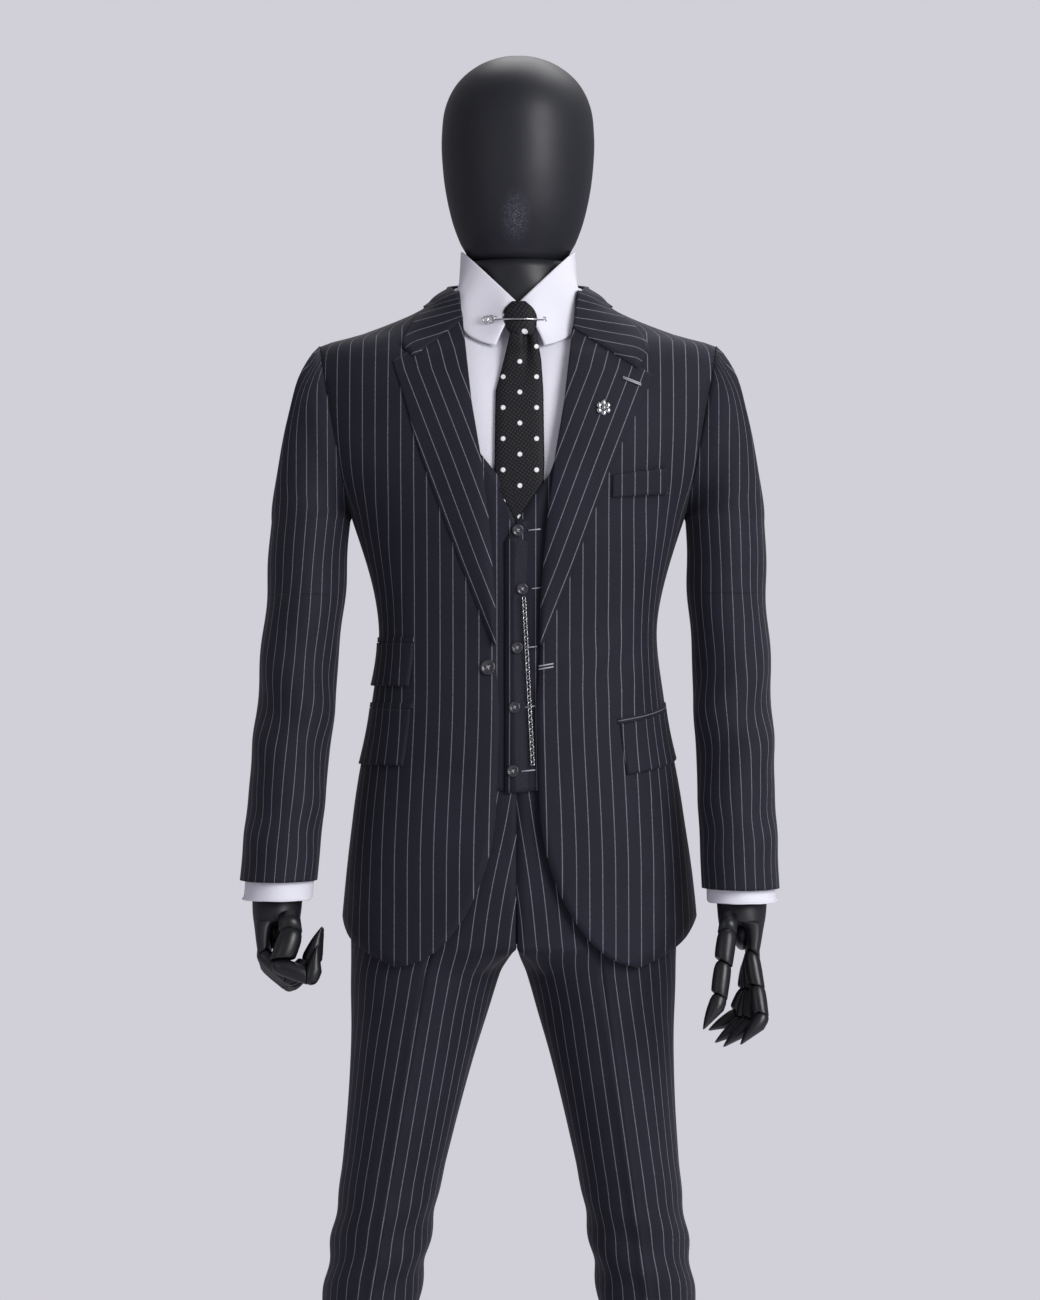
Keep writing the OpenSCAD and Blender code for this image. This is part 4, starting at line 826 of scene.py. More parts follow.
waistcoatBody = clothGrid("waistcoatBody", waistcoat["columns"], waistcoat["rows"], waistcoatPlace, wool, "body", None,
                          fold=lambda u, v: wrinkle((u * 2, v, 0), 0.12, 0.0006), outward=fromAxis)
cutArmholes(waistcoatBody, 0.008)
thicken(waistcoatBody, waistcoat["cloth"])
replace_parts(waistcoatBody, "waistcoat")

# shirt -----------------------------------------------------------------------------------------------

shirt = {"cloth": 0.0016, "depth": 0.0122}


def shirtPlace(u, v):
    angle = -math.pi / 2 - 2 * math.pi * u
    z = mix(figure["neck"] - 0.034 * max(-math.sin(angle), 0) ** 6, bodyZ(0.275), v)
    depth = mix(shirt["depth"], 0.0053, ramp(z, bodyZ(0.837), bodyZ(0.9)) * ramp(math.sin(angle), -0.43, -0.22))
    return trunkPoint(z, angle, depth), u, v


def shirtFold(u, v):
    # long soft folds that fall from the collar beside the tie
    z = mix(figure["neck"], bodyZ(0.275), v)
    near = u if u < 0.5 else 1 - u
    folds = 0.0022 * bump(z, 1.44, 0.07) * math.sin((near - 0.02) * 150) * bump(near, 0.055, 0.035)
    return folds + wrinkle((u * 3, 0, z), 0.08, 0.0007) * ease(-z, -1.55, -1.50)


shirtBody = clothGrid("shirtBody", 140, 90, shirtPlace, poplin, "body", None, closed=True, fold=shirtFold,
                      outward=fromAxis)
cutArmholes(shirtBody, 0.0025)
thicken(shirtBody, shirt["cloth"])
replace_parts(shirtBody, "shirt")

shirtCollar = {"height": 0.044, "radius": 0.0675, "cloth": 0.0016, "columns": 170, "rows": 30, "shift": 0.0025,
               "low": [[0, 28, 1533], [0.06, 45, 1538], [0.13, 62, 1548], [0.2, 72, 1566]], "meet": 1.583}


def leafLow(h):
    # where the lower edge of half the collar rests on the shirt
    if h < 0.2:
        x, z = curveAt(shirtCollar["low"], h, 1) / 1000, curveAt(shirtCollar["low"], h, 2) / 1000
        return frontPoint(z, x, shirt["depth"] - 0.0045)
    first = math.degrees(frontAngle(1.566, 0.072, shirt["depth"] - 0.0045))
    share = (h - 0.2) / 0.8
    z = mix(1.566, 1.611, math.sin(min(share / 0.42, 1) * math.pi / 2))
    return trunkPoint(z, math.radians(mix(first, 90, share)), mix(shirt["depth"] - 0.0045, 0.0095, ramp(share, 0.1, 0.35)))


def collarLeaf(u, v):
    half, side = (2 * u, 1) if u <= 0.5 else (2 - 2 * u, -1)
    a = math.pi * half
    radius = shirtCollar["radius"]
    folded = Vector((radius * math.sin(a), -radius * math.cos(a),
                     mix(shirtCollar["meet"], figure["neck"] + shirtCollar["height"], math.sin(a) if half < 0.5 else 1)))
    low = leafLow(half)
    # the cloth leaves the fold steeply, then lies out on the shirt
    middle = Vector((mix(folded.x, low.x, 0.42), mix(folded.y, low.y, 0.30), mix(folded.z, low.z, 0.5)))
    middle.x += 0.0075 * bump(half, 0, 0.05)
    p = folded * (1 - v) ** 2 + middle * (2 * v * (1 - v)) + low * v ** 2
    # the front edges roll forward over the knot and the points curl
    near = bump(half, 0, 0.085)
    p.y -= near * mix(0.0115, 0.0040, ease(v, 0.45, 1.0)) * ease(v, -0.35, 0.3)
    return Vector((side * p.x + shirtCollar["shift"] * ramp(v, 0, 0.5) * (1 - ramp(half, 0, 0.3)), p.y, p.z)), u * 0.42, v * 0.06


leaf = clothGrid("shirtCollar", shirtCollar["columns"], shirtCollar["rows"], collarLeaf, poplin, "body",
                 shirtCollar["cloth"], outward=fromAxis)
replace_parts(leaf, "shirt_collar")
print("stage: shirt and waistcoat")

# tie ----------------------------------------------------------------------------------------------------

tie = {"width": 0.057, "x": 0.003, "knotX": 0.001, "knotTop": 1.584, "knotLow": 1.5445, "tip": 1.325,
       "cloth": 0.0026, "lift": 0.0705}
# height, half width, middle line
tieRows = [[1.325, 0.0006, 0.0], [1.3665, 0.0285, 0.001], [1.393, 0.0288, 0.0018], [1.478, 0.0276, 0.0018],
           [1.514, 0.0218, 0.0053], [1.5497, 0.0150, 0.0065], [1.560, 0.0130, 0.0060]]


def bladePlace(u, v):
    z = mix(tie["knotLow"] + 0.006, tie["tip"], v)
    x = linearAt(tieRows, z, 2) + linearAt(tieRows, z) * (2 * u - 1)
    ahead = ramp(z, tie["knotLow"] - 0.075, tie["knotLow"]) ** 2
    # rolled edges and the dimple under the knot
    roll = 0.0022 * (1 - abs(2 * u - 1) ** 6)
    dimple = 0.006 * bump(z, tie["knotLow"] - 0.004, 0.026) * bump(u, 0.62, 0.12)
    p = frontPoint(z, x, shirt["depth"] - 0.0032 - roll)
    p.y -= 0.015 * ahead - dimple
    return p, x - 0.0022, z - 0.0010


blade = clothGrid("tieBlade", 24, 110, bladePlace, silk, "body", tie["cloth"], outward=lambda p: Vector((0, -1, 0)))


def knotPlace(u, v):
    # a tapered four-in-hand knot, flat behind
    z = mix(tie["knotTop"] + 0.0005, tie["knotLow"], v)
    half = curveAt([[0, 0.008], [0.2, 0.0165], [0.45, 0.0205], [0.75, 0.0185], [1, 0.0135]], v)
    angle = 2 * math.pi * u
    bulge = curveAt([[0, 0.004], [0.25, 0.0085], [0.6, 0.0105], [1, 0.008]], v)
    skew = 0.005 * v ** 2
    x = half * power(math.cos(angle), 0.85)
    y = bulge * power(math.sin(angle), 0.9)
    y -= 0.0022 * bump(x, 0.001, 0.004) * ease(v, 0.7, 1) * (1 if y < 0 else 0) * -1
    lean = 0.0035 * ease(v, 0.3, 1)
    return Vector((tie["knotX"] + x + skew, -tie["lift"] - 0.0075 - lean + y, z)), x * 0.8 - 0.0022, (z - 1.5565) * 0.9 + 1.5552


knot = clothGrid("tieKnot", 48, 30, knotPlace, silk, "body", None, closed=True)
knotMesh = bmesh.new()
knotMesh.from_mesh(knot.data)
bmesh.ops.holes_fill(knotMesh, edges=[e for e in knotMesh.edges if e.is_boundary], sides=0)
bmesh.ops.recalc_face_normals(knotMesh, faces=knotMesh.faces)
knotMesh.to_mesh(knot.data)
knotMesh.free()
for piece in (blade, knot):
    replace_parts(piece, "tie")
print("stage: tie")

# trousers --------------------------------------------------------------------------------------------------

trousers = {"cloth": 0.0016, "spread": {1: math.radians(8), -1: math.radians(9.5)}, "hem": 0.082, "top": bodyZ(0.29),
            "columns": 96, "rows": 220, "depth": 0.0103, "fork": 0.800}
legRows = millimetres([[82, 52, 70.7, 12], [234.1, 53, 71.8, 12], [425, 57, 74.1, 2], [557.8, 59, 75.2, -2],
                       [698.9, 71.8, 85.5, 2], [840, 95.5, 102.7, 4]])


def legX(side, z):
    return figure["hipShift"] + side * (0.097 + (figure["crotch"] - z) * math.tan(trousers["spread"][side]))


def legPoint(side, z, angle, inset=0.0):
    x, y = ovalPoint(curveAt(legRows, z, 1) - inset, curveAt(legRows, z, 2) - inset, curveAt(legRows, z, 2) - inset,
                     angle, 2.1)
    return Vector((legX(side, z) + side * x, curveAt(legRows, z, 3) + y, z))


def seatPoint(side, z, turn):
    # half of the seat: outer part on the trunk, inner part on the middle plane; the crease runs on up the leg's line
    crease = -frontAngle(z, 0.097 + (figure["crotch"] - z) * math.tan(trousers["spread"][side]), trousers["depth"])
    if turn <= math.pi:
        angle = mix(-crease, crease, turn / math.pi)
    else:
        inner = (turn - math.pi) / math.pi
        if inner < 0.25:
            angle = mix(crease, math.pi / 2, inner / 0.25)
        elif inner > 0.75:
            angle = mix(-math.pi / 2, -crease, (inner - 0.75) / 0.25)
        else:
            back, front = trunkPoint(z, math.pi / 2, trousers["depth"]), trunkPoint(z, -math.pi / 2, trousers["depth"])
            p = back.lerp(front, (inner - 0.25) / 0.5)
            return Vector((figure["hipShift"] * 0.3 + side * 0.0004, p.y, z))
    p = trunkPoint(z, angle, trousers["depth"])
    return Vector((side * p.x, p.y, z))


def makeTrouserLeg(name, side):
    def point(u, v):
        z = mix(trousers["top"], trousers["hem"], v)
        turn = 2 * math.pi * u
        low = legPoint(side, min(z, figure["crotch"]), turn - math.pi / 2)
        low.z = z
        if z <= trousers["fork"]:
            return low
        # the inner half closes to the middle at the fork, the outer half higher up
        slow = ease(z, figure["crotch"] - 0.001, bodyZ(0.2))
        fast = ramp(z, trousers["fork"], figure["crotch"] - 0.007) ** 1.7
        inner = ease(-math.sin(turn), -0.30, 0.20)
        return low.lerp(seatPoint(side, z, turn), mix(slow, max(fast, slow), inner))

    arcs = {}

    def across(u, v):
        key = round(v * trousers["rows"])
        if key not in arcs:
            last, total, table = point(0, v), 0.0, [0.0]
            for k in range(1, 97):
                here = point(k / 96, v)
                total += (here - last).length
                table.append(total)
                last = here
            arcs[key] = table
        table = arcs[key]
        k = min(int(u * 96), 95)
        length = mix(table[k], table[k + 1], u * 96 - k)
        return length if u < 0.5 else length - table[96]

    def place(u, v):
        return point(u, v), across(u, v) * side + 0.0075, mix(trousers["top"], trousers["hem"], v)

    def fold(u, v):
        z = mix(trousers["top"], trousers["hem"], v)
        around = min(u, 1 - u)
        pressed = 0.0035 * bump(around, 0, 0.012) * ease(-z, -0.80, -0.70) + 0.003 * bump(u, 0.5, 0.012)
        groin = 0.0011 * bump(z, 0.81, 0.08) * math.sin(z * 62 + u * 16) * bump(around, 0.12, 0.12)
        knee = 0.0022 * bump(z, 0.47, 0.07) * math.sin(z * 100 + u * 12)
        breaks = 0.003 * bump(z, 0.115, 0.035) * math.sin(z * 210 + math.cos(2 * math.pi * u) * 1.4)
        return pressed + groin + knee + breaks + wrinkle((math.cos(6.28 * u), math.sin(6.28 * u), z * 3), 0.7, 0.0025)

    piece = clothGrid(name, trousers["columns"], trousers["rows"], place, wool, "body", trousers["cloth"], closed=True,
                      fold=fold, outward=lambda p: Vector((p.x - legX(side, min(p.z, 0.84)), p.y, 0)).normalized())
    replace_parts(piece, "trousers")
    return piece


makeTrouserLeg("leftTrouserLeg", 1)
makeTrouserLeg("rightTrouserLeg", -1)
print("stage: trousers")

# sleeves -----------------------------------------------------------------------------------------------------

sleeve = {"cloth": 0.0025, "half": 0.047, "deep": 0.066, "cuffHalf": 0.045, "armpitX": 0.1964, "armpitY": -0.006,
          "elbowZ": 1.16768, "elbowY": -0.022, "bend": math.radians(14), "wristZ": 0.896, "end": {1: 0.905, -1: 0.914},
          "lean": {1: math.radians(2), -1: math.radians(4.5)}, "rim": 0.206738, "columns": 72, "fanRows": 34,
          "armRows": 110, "join": 1.245}


def armX(side, z):
    return sleeve["armpitX"] + sleeve["half"] + (figure["armpit"] - z) * math.tan(sleeve["lean"][side])


def armY(z):
    if z > sleeve["elbowZ"]:
        return mix(sleeve["elbowY"], sleeve["armpitY"], ramp(z, sleeve["elbowZ"], figure["armpit"]))
    return sleeve["elbowY"] - (sleeve["elbowZ"] - z) * math.tan(sleeve["bend"])


def armholeDepth(z, ahead):
    level = min(max(z, figure["armpit"]), figure["shoulder"])
    x = 0.196 + (level - figure["armpit"]) * math.tan(figure["armholeTilt"])
    share = min(x / curveAt(trunkRows, level, 1), 1)
    n = figure["roundness"]
    return curveAt(trunkRows, level, 2 if ahead else 3) * (1 - share ** n) ** (1 / n)


def sleevePoint(side, along, turn):
    # along: 0 to 1 in the fan at the armhole, 1 to 2 down the arm; turn 0 at the body, pi at the outside
    if along < 1:
        f = along
        tilt = mix(math.pi / 2 - figure["armholeTilt"], 0, f)
        width = mix(2 * sleeve["half"], sleeve["rim"], (1 - f) ** 3)
        r = width * (1 - math.cos(turn)) / 2
        rim = armholeDepth(figure["armpit"] + r * math.cos(figure["armholeTilt"]), math.sin(turn) > 0)
        y = mix(-power(math.sin(turn), 0.01) * rim, -sleeve["deep"] * math.sin(turn) + sleeve["armpitY"], f)
        x, z = sleeve["armpitX"] + r * math.cos(tilt), figure["armpit"] + r * math.sin(tilt)
        return Vector((side * x, y, z))
    z = mix(figure["armpit"], sleeve["end"][side], along - 1)
    low = ramp(z, sleeve["end"][side], figure["armpit"])
    half, deep = mix(sleeve["cuffHalf"], sleeve["half"], low), mix(sleeve["cuffHalf"] * 1.22, sleeve["deep"], low)
    return Vector((side * (armX(side, z) - half * math.cos(turn)), armY(z) - deep * math.sin(turn), z))


def makeSleeve(name, side):
    rows = sleeve["fanRows"] + sleeve["armRows"]

    def along(v):
        row = v * rows
        return row / sleeve["fanRows"] if row < sleeve["fanRows"] else 1 + (row - sleeve["fanRows"]) / sleeve["armRows"]

    def place(u, v):
        a, turn = along(v), 2 * math.pi * u
        p = sleevePoint(side, a, turn)
        if a < 1:
            # stripes fall straight from the shoulder, both as seen from ahead and from the side
            x = abs(p.x) - armX(side, figure["armpit"])
            straight = math.acos(min(max(-x / sleeve["half"], -1), 1))
            straight = straight if math.sin(turn) >= 0 else 2 * math.pi - straight
            beside = math.pi - math.asin(min(max((sleeve["armpitY"] - p.y) / sleeve["deep"], -1), 1))
            ahead = max(ease(abs(math.sin(turn)), 0.3, 0.8), ease(math.cos(turn), -0.3, 0.1))
            turnLine = mix(mix(beside, straight, ahead), turn, ease(a, 0.6, 1))
        else:
            turnLine = turn
        s = turnLine / (2 * math.pi) * 0.355
        return p, s + 0.006, p.z

    def fold(u, v):
        a, turn = along(v), 2 * math.pi * u
        p = sleevePoint(side, a, turn)
        if a < 1:
            # a soft roll where the sleeve head is set in
            return 0.0035 * bump(a, 0.10, 0.09) * ease(math.cos(turn) * -1, -0.5, 0.5)
        front = ramp(math.sin(turn), -0.2, 0.6)
        elbow = bump(p.z, 1.10, 0.075)
        drag = 0.0042 * elbow * front * math.sin(p.z * 62 + math.cos(turn) * 2.3)
        upper = 0.0020 * bump(p.z, 1.24, 0.07) * math.sin(p.z * 48 - math.cos(turn) * 2.0)
        low = 0.0022 * bump(p.z, 0.985, 0.05) * math.sin(p.z * 88 + math.cos(turn) * 1.5) * front
        return drag + upper + low + wrinkle((math.cos(turn) * side, math.sin(turn), p.z * 4), 0.8, 0.0016)

    whole = clothGrid(name, sleeve["columns"], rows, place, wool, None, None, closed=True, fold=fold,
                      outward=lambda p: Vector((p.x - side * armX(side, min(p.z, figure["armpit"])), p.y - armY(
                          min(p.z, figure["armpit"])), 0)).normalized())
    # cut at mid upper arm into an upper and a lower half
    pieces = []
    for part, keepUpper in (("Head", True), ("Arm", False)):
        bm = bmesh.new()
        bm.from_mesh(whole.data)
        bmesh.ops.bisect_plane(bm, geom=list(bm.verts) + list(bm.edges) + list(bm.faces), dist=0.00001,
                               plane_co=(0, 0, sleeve["join"]), plane_no=(0, 0, 1),
                               clear_inner=keepUpper, clear_outer=not keepUpper)
        piece = finishPiece(name + part, bm, wool, None)
        thicken(piece, sleeve["cloth"])
        applyModifiers(piece)
        pieces.append(piece)
    bpy.data.objects.remove(whole)
    word = "left" if side > 0 else "right"
    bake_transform(pieces[0])
    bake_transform(pieces[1])
    for piece in pieces:
        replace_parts(piece, word + "_sleeve")
    return pieces


makeSleeve("leftSleeve", 1)
makeSleeve("rightSleeve", -1)
print("stage: sleeves")


# arms' own frame below the elbow ------------------------------------------------------------------------------

def forearmMatrix(side):
    turn = Matrix.Rotation(-sleeve["lean"][side], 4, "Y") @ Matrix.Rotation(-sleeve["bend"], 4, "X")
    place = Matrix.Translation((armX(side, sleeve["elbowZ"]), sleeve["elbowY"], sleeve["elbowZ"])) @ turn
    return (Matrix.Scale(-1, 4, (1, 0, 0)) @ place) if side < 0 else place


cuff = {"cloth": 0.0016, "columns": 72, "rows": 40, "edge": {1: 0.8905, -1: 0.8935},
        "rings": millimetres([[-288, 39.9, 48.9], [-250, 39.8, 48.4], [-229.4, 39.6, 47.6], [-219.4, 37.6, 45.6],
                              [-211.4, 31.4, 35.9]])}


def makeCuff(name, side):
    matrix = forearmMatrix(side)

    def place(u, v):
        level = mix(-0.2114, -0.288, v)
        angle = 2 * math.pi * u
        half, deep = curveAt(cuff["rings"], level, 1), curveAt(cuff["rings"], level, 2)
        flare = 0.0003 * ease(-level, 0.262, 0.288) * (1 + math.cos(angle * 2 + 0.6))
        p = matrix @ Vector(((half + flare) * math.cos(angle), (deep + flare) * math.sin(angle), level))
        # the free edge hangs level
        p.z = mix(p.z, cuff["edge"][side], ease(v, 0.45, 1.0))
        return p, angle * 0.04, level

    piece = clothGrid(name, cuff["columns"], cuff["rows"], place, poplin, ("left" if side > 0 else "right") + "_forearm",
                      cuff["cloth"], closed=True, fold=lambda u, v: wrinkle((math.cos(6.28 * u), math.sin(6.28 * u), v), 0.5, 0.0005),
                      outward=lambda p: Vector((p.x - side * 0.258, p.y + 0.08, 0)).normalized())
    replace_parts(piece, ("left" if side > 0 else "right") + "_shirt_cuff")
    return piece


makeCuff("leftShirtCuff", 1)
makeCuff("rightShirtCuff", -1)
print("stage: cuffs")

# legs and feet ------------------------------------------------------------------------------------------------

foot = {"length": 0.262, "toeOut": math.radians(8), "ankle": 0.095, "round": 48,
        "narrow": millimetres([[107, 15], [224.1, 5], [373.5, 7], [830, 0]]),
        "rings": [[0.36, 0.10, 0, 0.128, 0.165], [0.28, 0.085, 18, 0.13, 0.185], [0.18, 0.03, 48, 0.142, 0.2],
                  [0.14, -0.13, 74, 0.15, 0.15], [0.1, -0.32, 88, 0.172, 0.11], [0.075, -0.50, 90, 0.185, 0.085],
                  [0.06, -0.64, 90, 0.162, 0.062], [0.045, -0.71, 90, 0.10, 0.035]]}


def footRing(side, r):
    ring = []
    for j in range(foot["round"]):
        p = ovalPoint(r[3] * foot["length"], r[4] * foot["length"], r[4] * foot["length"],
                      2 * math.pi * j / foot["round"], 2)
        tilt = math.radians(r[2])
        y = r[1] * foot["length"] + p[1] * math.cos(tilt)
        x = p[0] - min(y, 0) * math.tan(foot["toeOut"]) * side
        z = figure["sole"] + max(r[0] * foot["length"] - p[1] * math.sin(tilt), 0)
        ring.append(Vector((legX(side, figure["sole"] + foot["ankle"]) + x, y, z)))
    return ring


def makeLeg(name, side):
    rings = []
    for k in range(41):
        h = mix(foot["ankle"] + 0.021, figure["legLength"], 1 - k / 40)
        inset = 0.0076 + curveAt(foot["narrow"], h)
        z = figure["sole"] + h - (0.0003 if k == 0 else 0)
        ring = []
        for j in range(foot["round"]):
            p = legPoint(side, z, 2 * math.pi * j / foot["round"], inset)
            ring.append(Vector((legX(side, z) + abs(p.x - legX(side, z)) * (1 if math.cos(2 * math.pi * j / foot["round"]) >= 0 else -1), p.y, z)))
        rings.append(ring)
    steps = 6
    for k in range((len(foot["rings"]) - 1) * steps + 1):
        i, f = min(k // steps, len(foot["rings"]) - 2), k / steps - min(k // steps, len(foot["rings"]) - 2)
        keyed = [[n] + row for n, row in enumerate(foot["rings"])]
        rings.append(footRing(side, [curveAt(keyed, i + f, c) for c in range(1, 6)]))
    piece = loftPiece(name, rings, lacquer, "body")
    return piece


leftLeg = makeLeg("leftLegShell", 1)
rightLeg = makeLeg("rightLegShell", -1)
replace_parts(leftLeg, "left_leg")
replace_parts(rightLeg, "right_leg")
print("stage: legs")

# small fittings ----------------------------------------------------------------------------------------------


def dressNode(node, material):
    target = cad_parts[node].data
    if target.materials:
        for i in range(len(target.materials)):
            target.materials[i] = material
    else:
        target.materials.append(material)


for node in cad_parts:
    if node == "base_plate":
        dressNode(node, coat)
    elif node == "base_pad":
        dressNode(node, rubber)
    elif node == "foot_rod":
        dressNode(node, dullSteel)
    elif node == "watch_chain":
        dressNode(node, silver)
    elif node == "hips" or node.endswith("upper_arm") or node.endswith("forearm"):
        dressNode(node, lacquer)


def facing(place, normal):
    # turns a form made about +Z so that it stands on the cloth
    return Matrix.Translation(place) @ Vector(normal).to_track_quat("Z", "Y").to_matrix().to_4x4()


def frontNormal(z, x, depth):
    a, b = frontPoint(z, x + 0.003, depth) - frontPoint(z, x - 0.003, depth), frontPoint(z + 0.003, x, depth) - frontPoint(
        z - 0.003, x, depth)
    n = a.cross(b).normalized()
    return n if n.y < 0 else -n


def addRing(bm, radius, wire, matrix):
    # a wire ring: a small circle turned about Z
    made = bmesh.ops.create_circle(bm, segments=10, radius=wire, matrix=Matrix.Translation((radius, 0, 0))
                                   @ Matrix.Rotation(math.pi / 2, 4, "X"))["verts"]
    edges = list({e for v in made for e in v.link_edges})
    turned = bmesh.ops.spin(bm, geom=made + edges, cent=(0, 0, 0), axis=(0, 0, 1), angle=2 * math.pi, steps=28,
                            use_merge=True)
    ringVerts = {v for f in bm.faces for v in f.verts if not v.tag}
    for vert in ringVerts:
        vert.tag = True
    bmesh.ops.transform(bm, matrix=matrix, verts=list(ringVerts))
    return turned


def addBall(bm, radius, matrix):
    made = bmesh.ops.create_uvsphere(bm, u_segments=20, v_segments=12, radius=radius, matrix=matrix)["verts"]
    for vert in made:
        vert.tag = True


# hands: a lacquered shell over the back of the hand, hooded over an open palm, with moulded fingers on ball hinges
# the hand's own frame has its knuckles at the origin, fingers along -Z and the palm towards -X
hand = {"palm": 0.078, "reach": 0.280, "shift": 0.006, "round": 48, "finger": 0.0092, "pitch": 0.0216,
        "scale": [0.97, 1, 0.96, 0.84], "lengths": [0.040, 0.033, 0.034], "thumb": [0.036, 0.038, 0.032],
        "root": Vector((-0.028, -0.051, 0.022)), "fingers": ["index", "long", "ring", "little"],
        # drop from the wrist, back of the hand, palm side, half width
        "shell": millimetres([[0, 23, -35, 33], [10, 22.4, -35, 33.2], [21, 21, -34.6, 34.2], [29, 19.4, -33.8, 35.4],
                              [33, 18.4, -33, 36.2], [33.8, 18.2, -32, 36.3], [36.4, 17.6, -12, 36.9],
                              [39, 16.9, -8.5, 37.4], [44, 15.8, -5.6, 38.3], [56, 13.2, -4.2, 40], [67, 10.6, -4.6, 41]]),
        "bends": {1: [[-7, 2, 38], [2, 6, 34], [6, 10, 32], [12, 14, 30], [10, 0, 12]],
                  -1: [[54, 88, 14], [56, 88, 14], [56, 86, 14], [54, 84, 14], [-15, 90, 90]]},
        "thumbBase": {1: 0.0108, -1: 0.0135}}


def handMatrix(side):
    return forearmMatrix(side) @ Matrix.Translation((hand["shift"], 0, -hand["reach"] - hand["palm"]))


def ballRow(radius, count, matrix=None):
    rings = []
    for k in range(count):
        tip = math.radians(mix(88, 8, k / (count - 1)))
        rings.append([Vector((radius * math.cos(tip) * math.cos(a), radius * math.cos(tip) * math.sin(a),
                              radius * math.sin(tip))) for a in turnsOf(28)])
    return rings


def turnsOf(count):
    return [2 * math.pi * j / count for j in range(count)]


def makeBarrel(name, matrix, length, radius, body):
    # a ball above, a swelling barrel, and a mitred socket that leaves the next piece free to bend 90 degrees
    rings = ballRow(radius * 0.95, 7)
    for share in (0.06, 0.2, 0.4, 0.6):
        r = radius * (1 + 0.05 * math.sin(math.pi * min(share * 1.3, 1)))
        rings.append([Vector((r * math.cos(a), r * math.sin(a), -length * share)) for a in turnsOf(28)])
    rim = [Vector((radius * math.cos(a), radius * math.sin(a), -length + radius * (0.60 - 0.42 * math.cos(a))))
           for a in turnsOf(28)]
    rings.append([p + Vector((0, 0, radius * 0.12)) for p in rim])
    rings.append([Vector((p.x * 0.97, p.y * 0.97, p.z)) for p in rim])
    hinge, pole = Vector((0, 0, -length)), Vector((0, 0, -length + radius * 1.0))
    for f in (0.25, 0.5, 0.75, 0.97):
        ring = []
        for p in rim:
            q = p.lerp(pole, f)
            away = q - hinge
            ring.append(hinge + away.normalized() * max(away.length, radius * 0.985))
        rings.append(ring)
    return loftPiece(name, [[matrix @ p for p in ring] for ring in rings], nylon, body)


def makeTip(name, matrix, length, radius, body):
    # a wedge: the back slants down to an edge on the palm side
    rings = ballRow(radius * 0.95, 7)
    long = length + radius * 0.5
    for share in (0.05, 0.16, 0.26, 0.34, 0.5, 0.68, 0.86, 0.97, 1.0):
        slope = ramp(share, 0.26, 1.0)
        back, front = mix(radius, -radius * 0.42, slope), mix(-radius, -radius * 0.62, slope ** 2)
        deep = radius * mix(1, 0.62, slope ** 1.5)
        back, front = (back, front) if share < 1 else (front + 0.0009, front + 0.0001)
        rings.append([Vector(((back + front) / 2 + (back - front) / 2 * math.cos(a), deep * math.sin(a), -long * share))
                      for a in turnsOf(28)])
    return loftPiece(name, [[matrix @ p for p in ring] for ring in rings], nylon, body)


def makePalm(name, side):
    rings = []
    rows = hand["shell"]
    drops = [mix(a[0], b[0], k / 4) for a, b in zip(rows, rows[1:]) for k in range(4)] + [rows[-1][0]]
    for drop in drops:
        back, front, half = (linearAt(rows, drop, column) for column in (1, 2, 3))
        n = mix(2.0, 3.4, ease(drop, 0.012, 0.06))
        ring = []
        for a in turnsOf(hand["round"]):
            x, y = (back - front) / 2 * power(math.cos(a), 2 / n), half * power(math.sin(a), 2 / n)
            ring.append(Vector(((back + front) / 2 + x, y, hand["palm"] - 0.0022 - drop)))
        rings.append(ring)
    # the lip over the knuckles, then the flat end inside it
    lip = [Vector((p.x, p.y, p.z - 0.0070 * ramp(p.x, -0.002, 0.008))) for p in rings[-1]]
    rings.append(lip)
    rings.append([Vector((p.x * 0.86, p.y * 0.97, p.z)) for p in lip])
    rings.append([Vector((p.x * 0.82, p.y * 0.96, rings[-3][0].z)) for p in lip])
    matrix = handMatrix(side)
    piece = loftPiece(name, [[matrix @ p for p in ring] for ring in rings], lacquer,
                      ("left" if side > 0 else "right") + "_hand")
    return piece


def makeThumbMount(name, side):
    # the pad of the palm and the post that carries the thumb
    bm = bmesh.new()
    bmesh.ops.create_uvsphere(bm, u_segments=36, v_segments=24, radius=1.0,
                              matrix=Matrix.Translation((-0.0070, 0.006, 0.031)) @ Matrix.Diagonal((0.0100, 0.032, 0.0150, 1)))
    top, root = Vector((-0.0235, -0.038, 0.047)), hand["root"]
    axis = root - top
    radius = hand["thumbBase"][side] * 1.02
    bmesh.ops.create_cone(bm, segments=32, radius1=radius, radius2=radius * 0.92, cap_ends=True,
                          depth=axis.length - radius * 0.5,
                          matrix=Matrix.Translation(top.lerp(root, 0.5 - radius * 0.25 / axis.length))
                          @ (-axis).to_track_quat("Z", "Y").to_matrix().to_4x4())
    bmesh.ops.transform(bm, matrix=handMatrix(side), verts=bm.verts)
    bmesh.ops.recalc_face_normals(bm, faces=bm.faces)
    return finishPiece(name, bm, nylon, ("left" if side > 0 else "right") + "_hand")


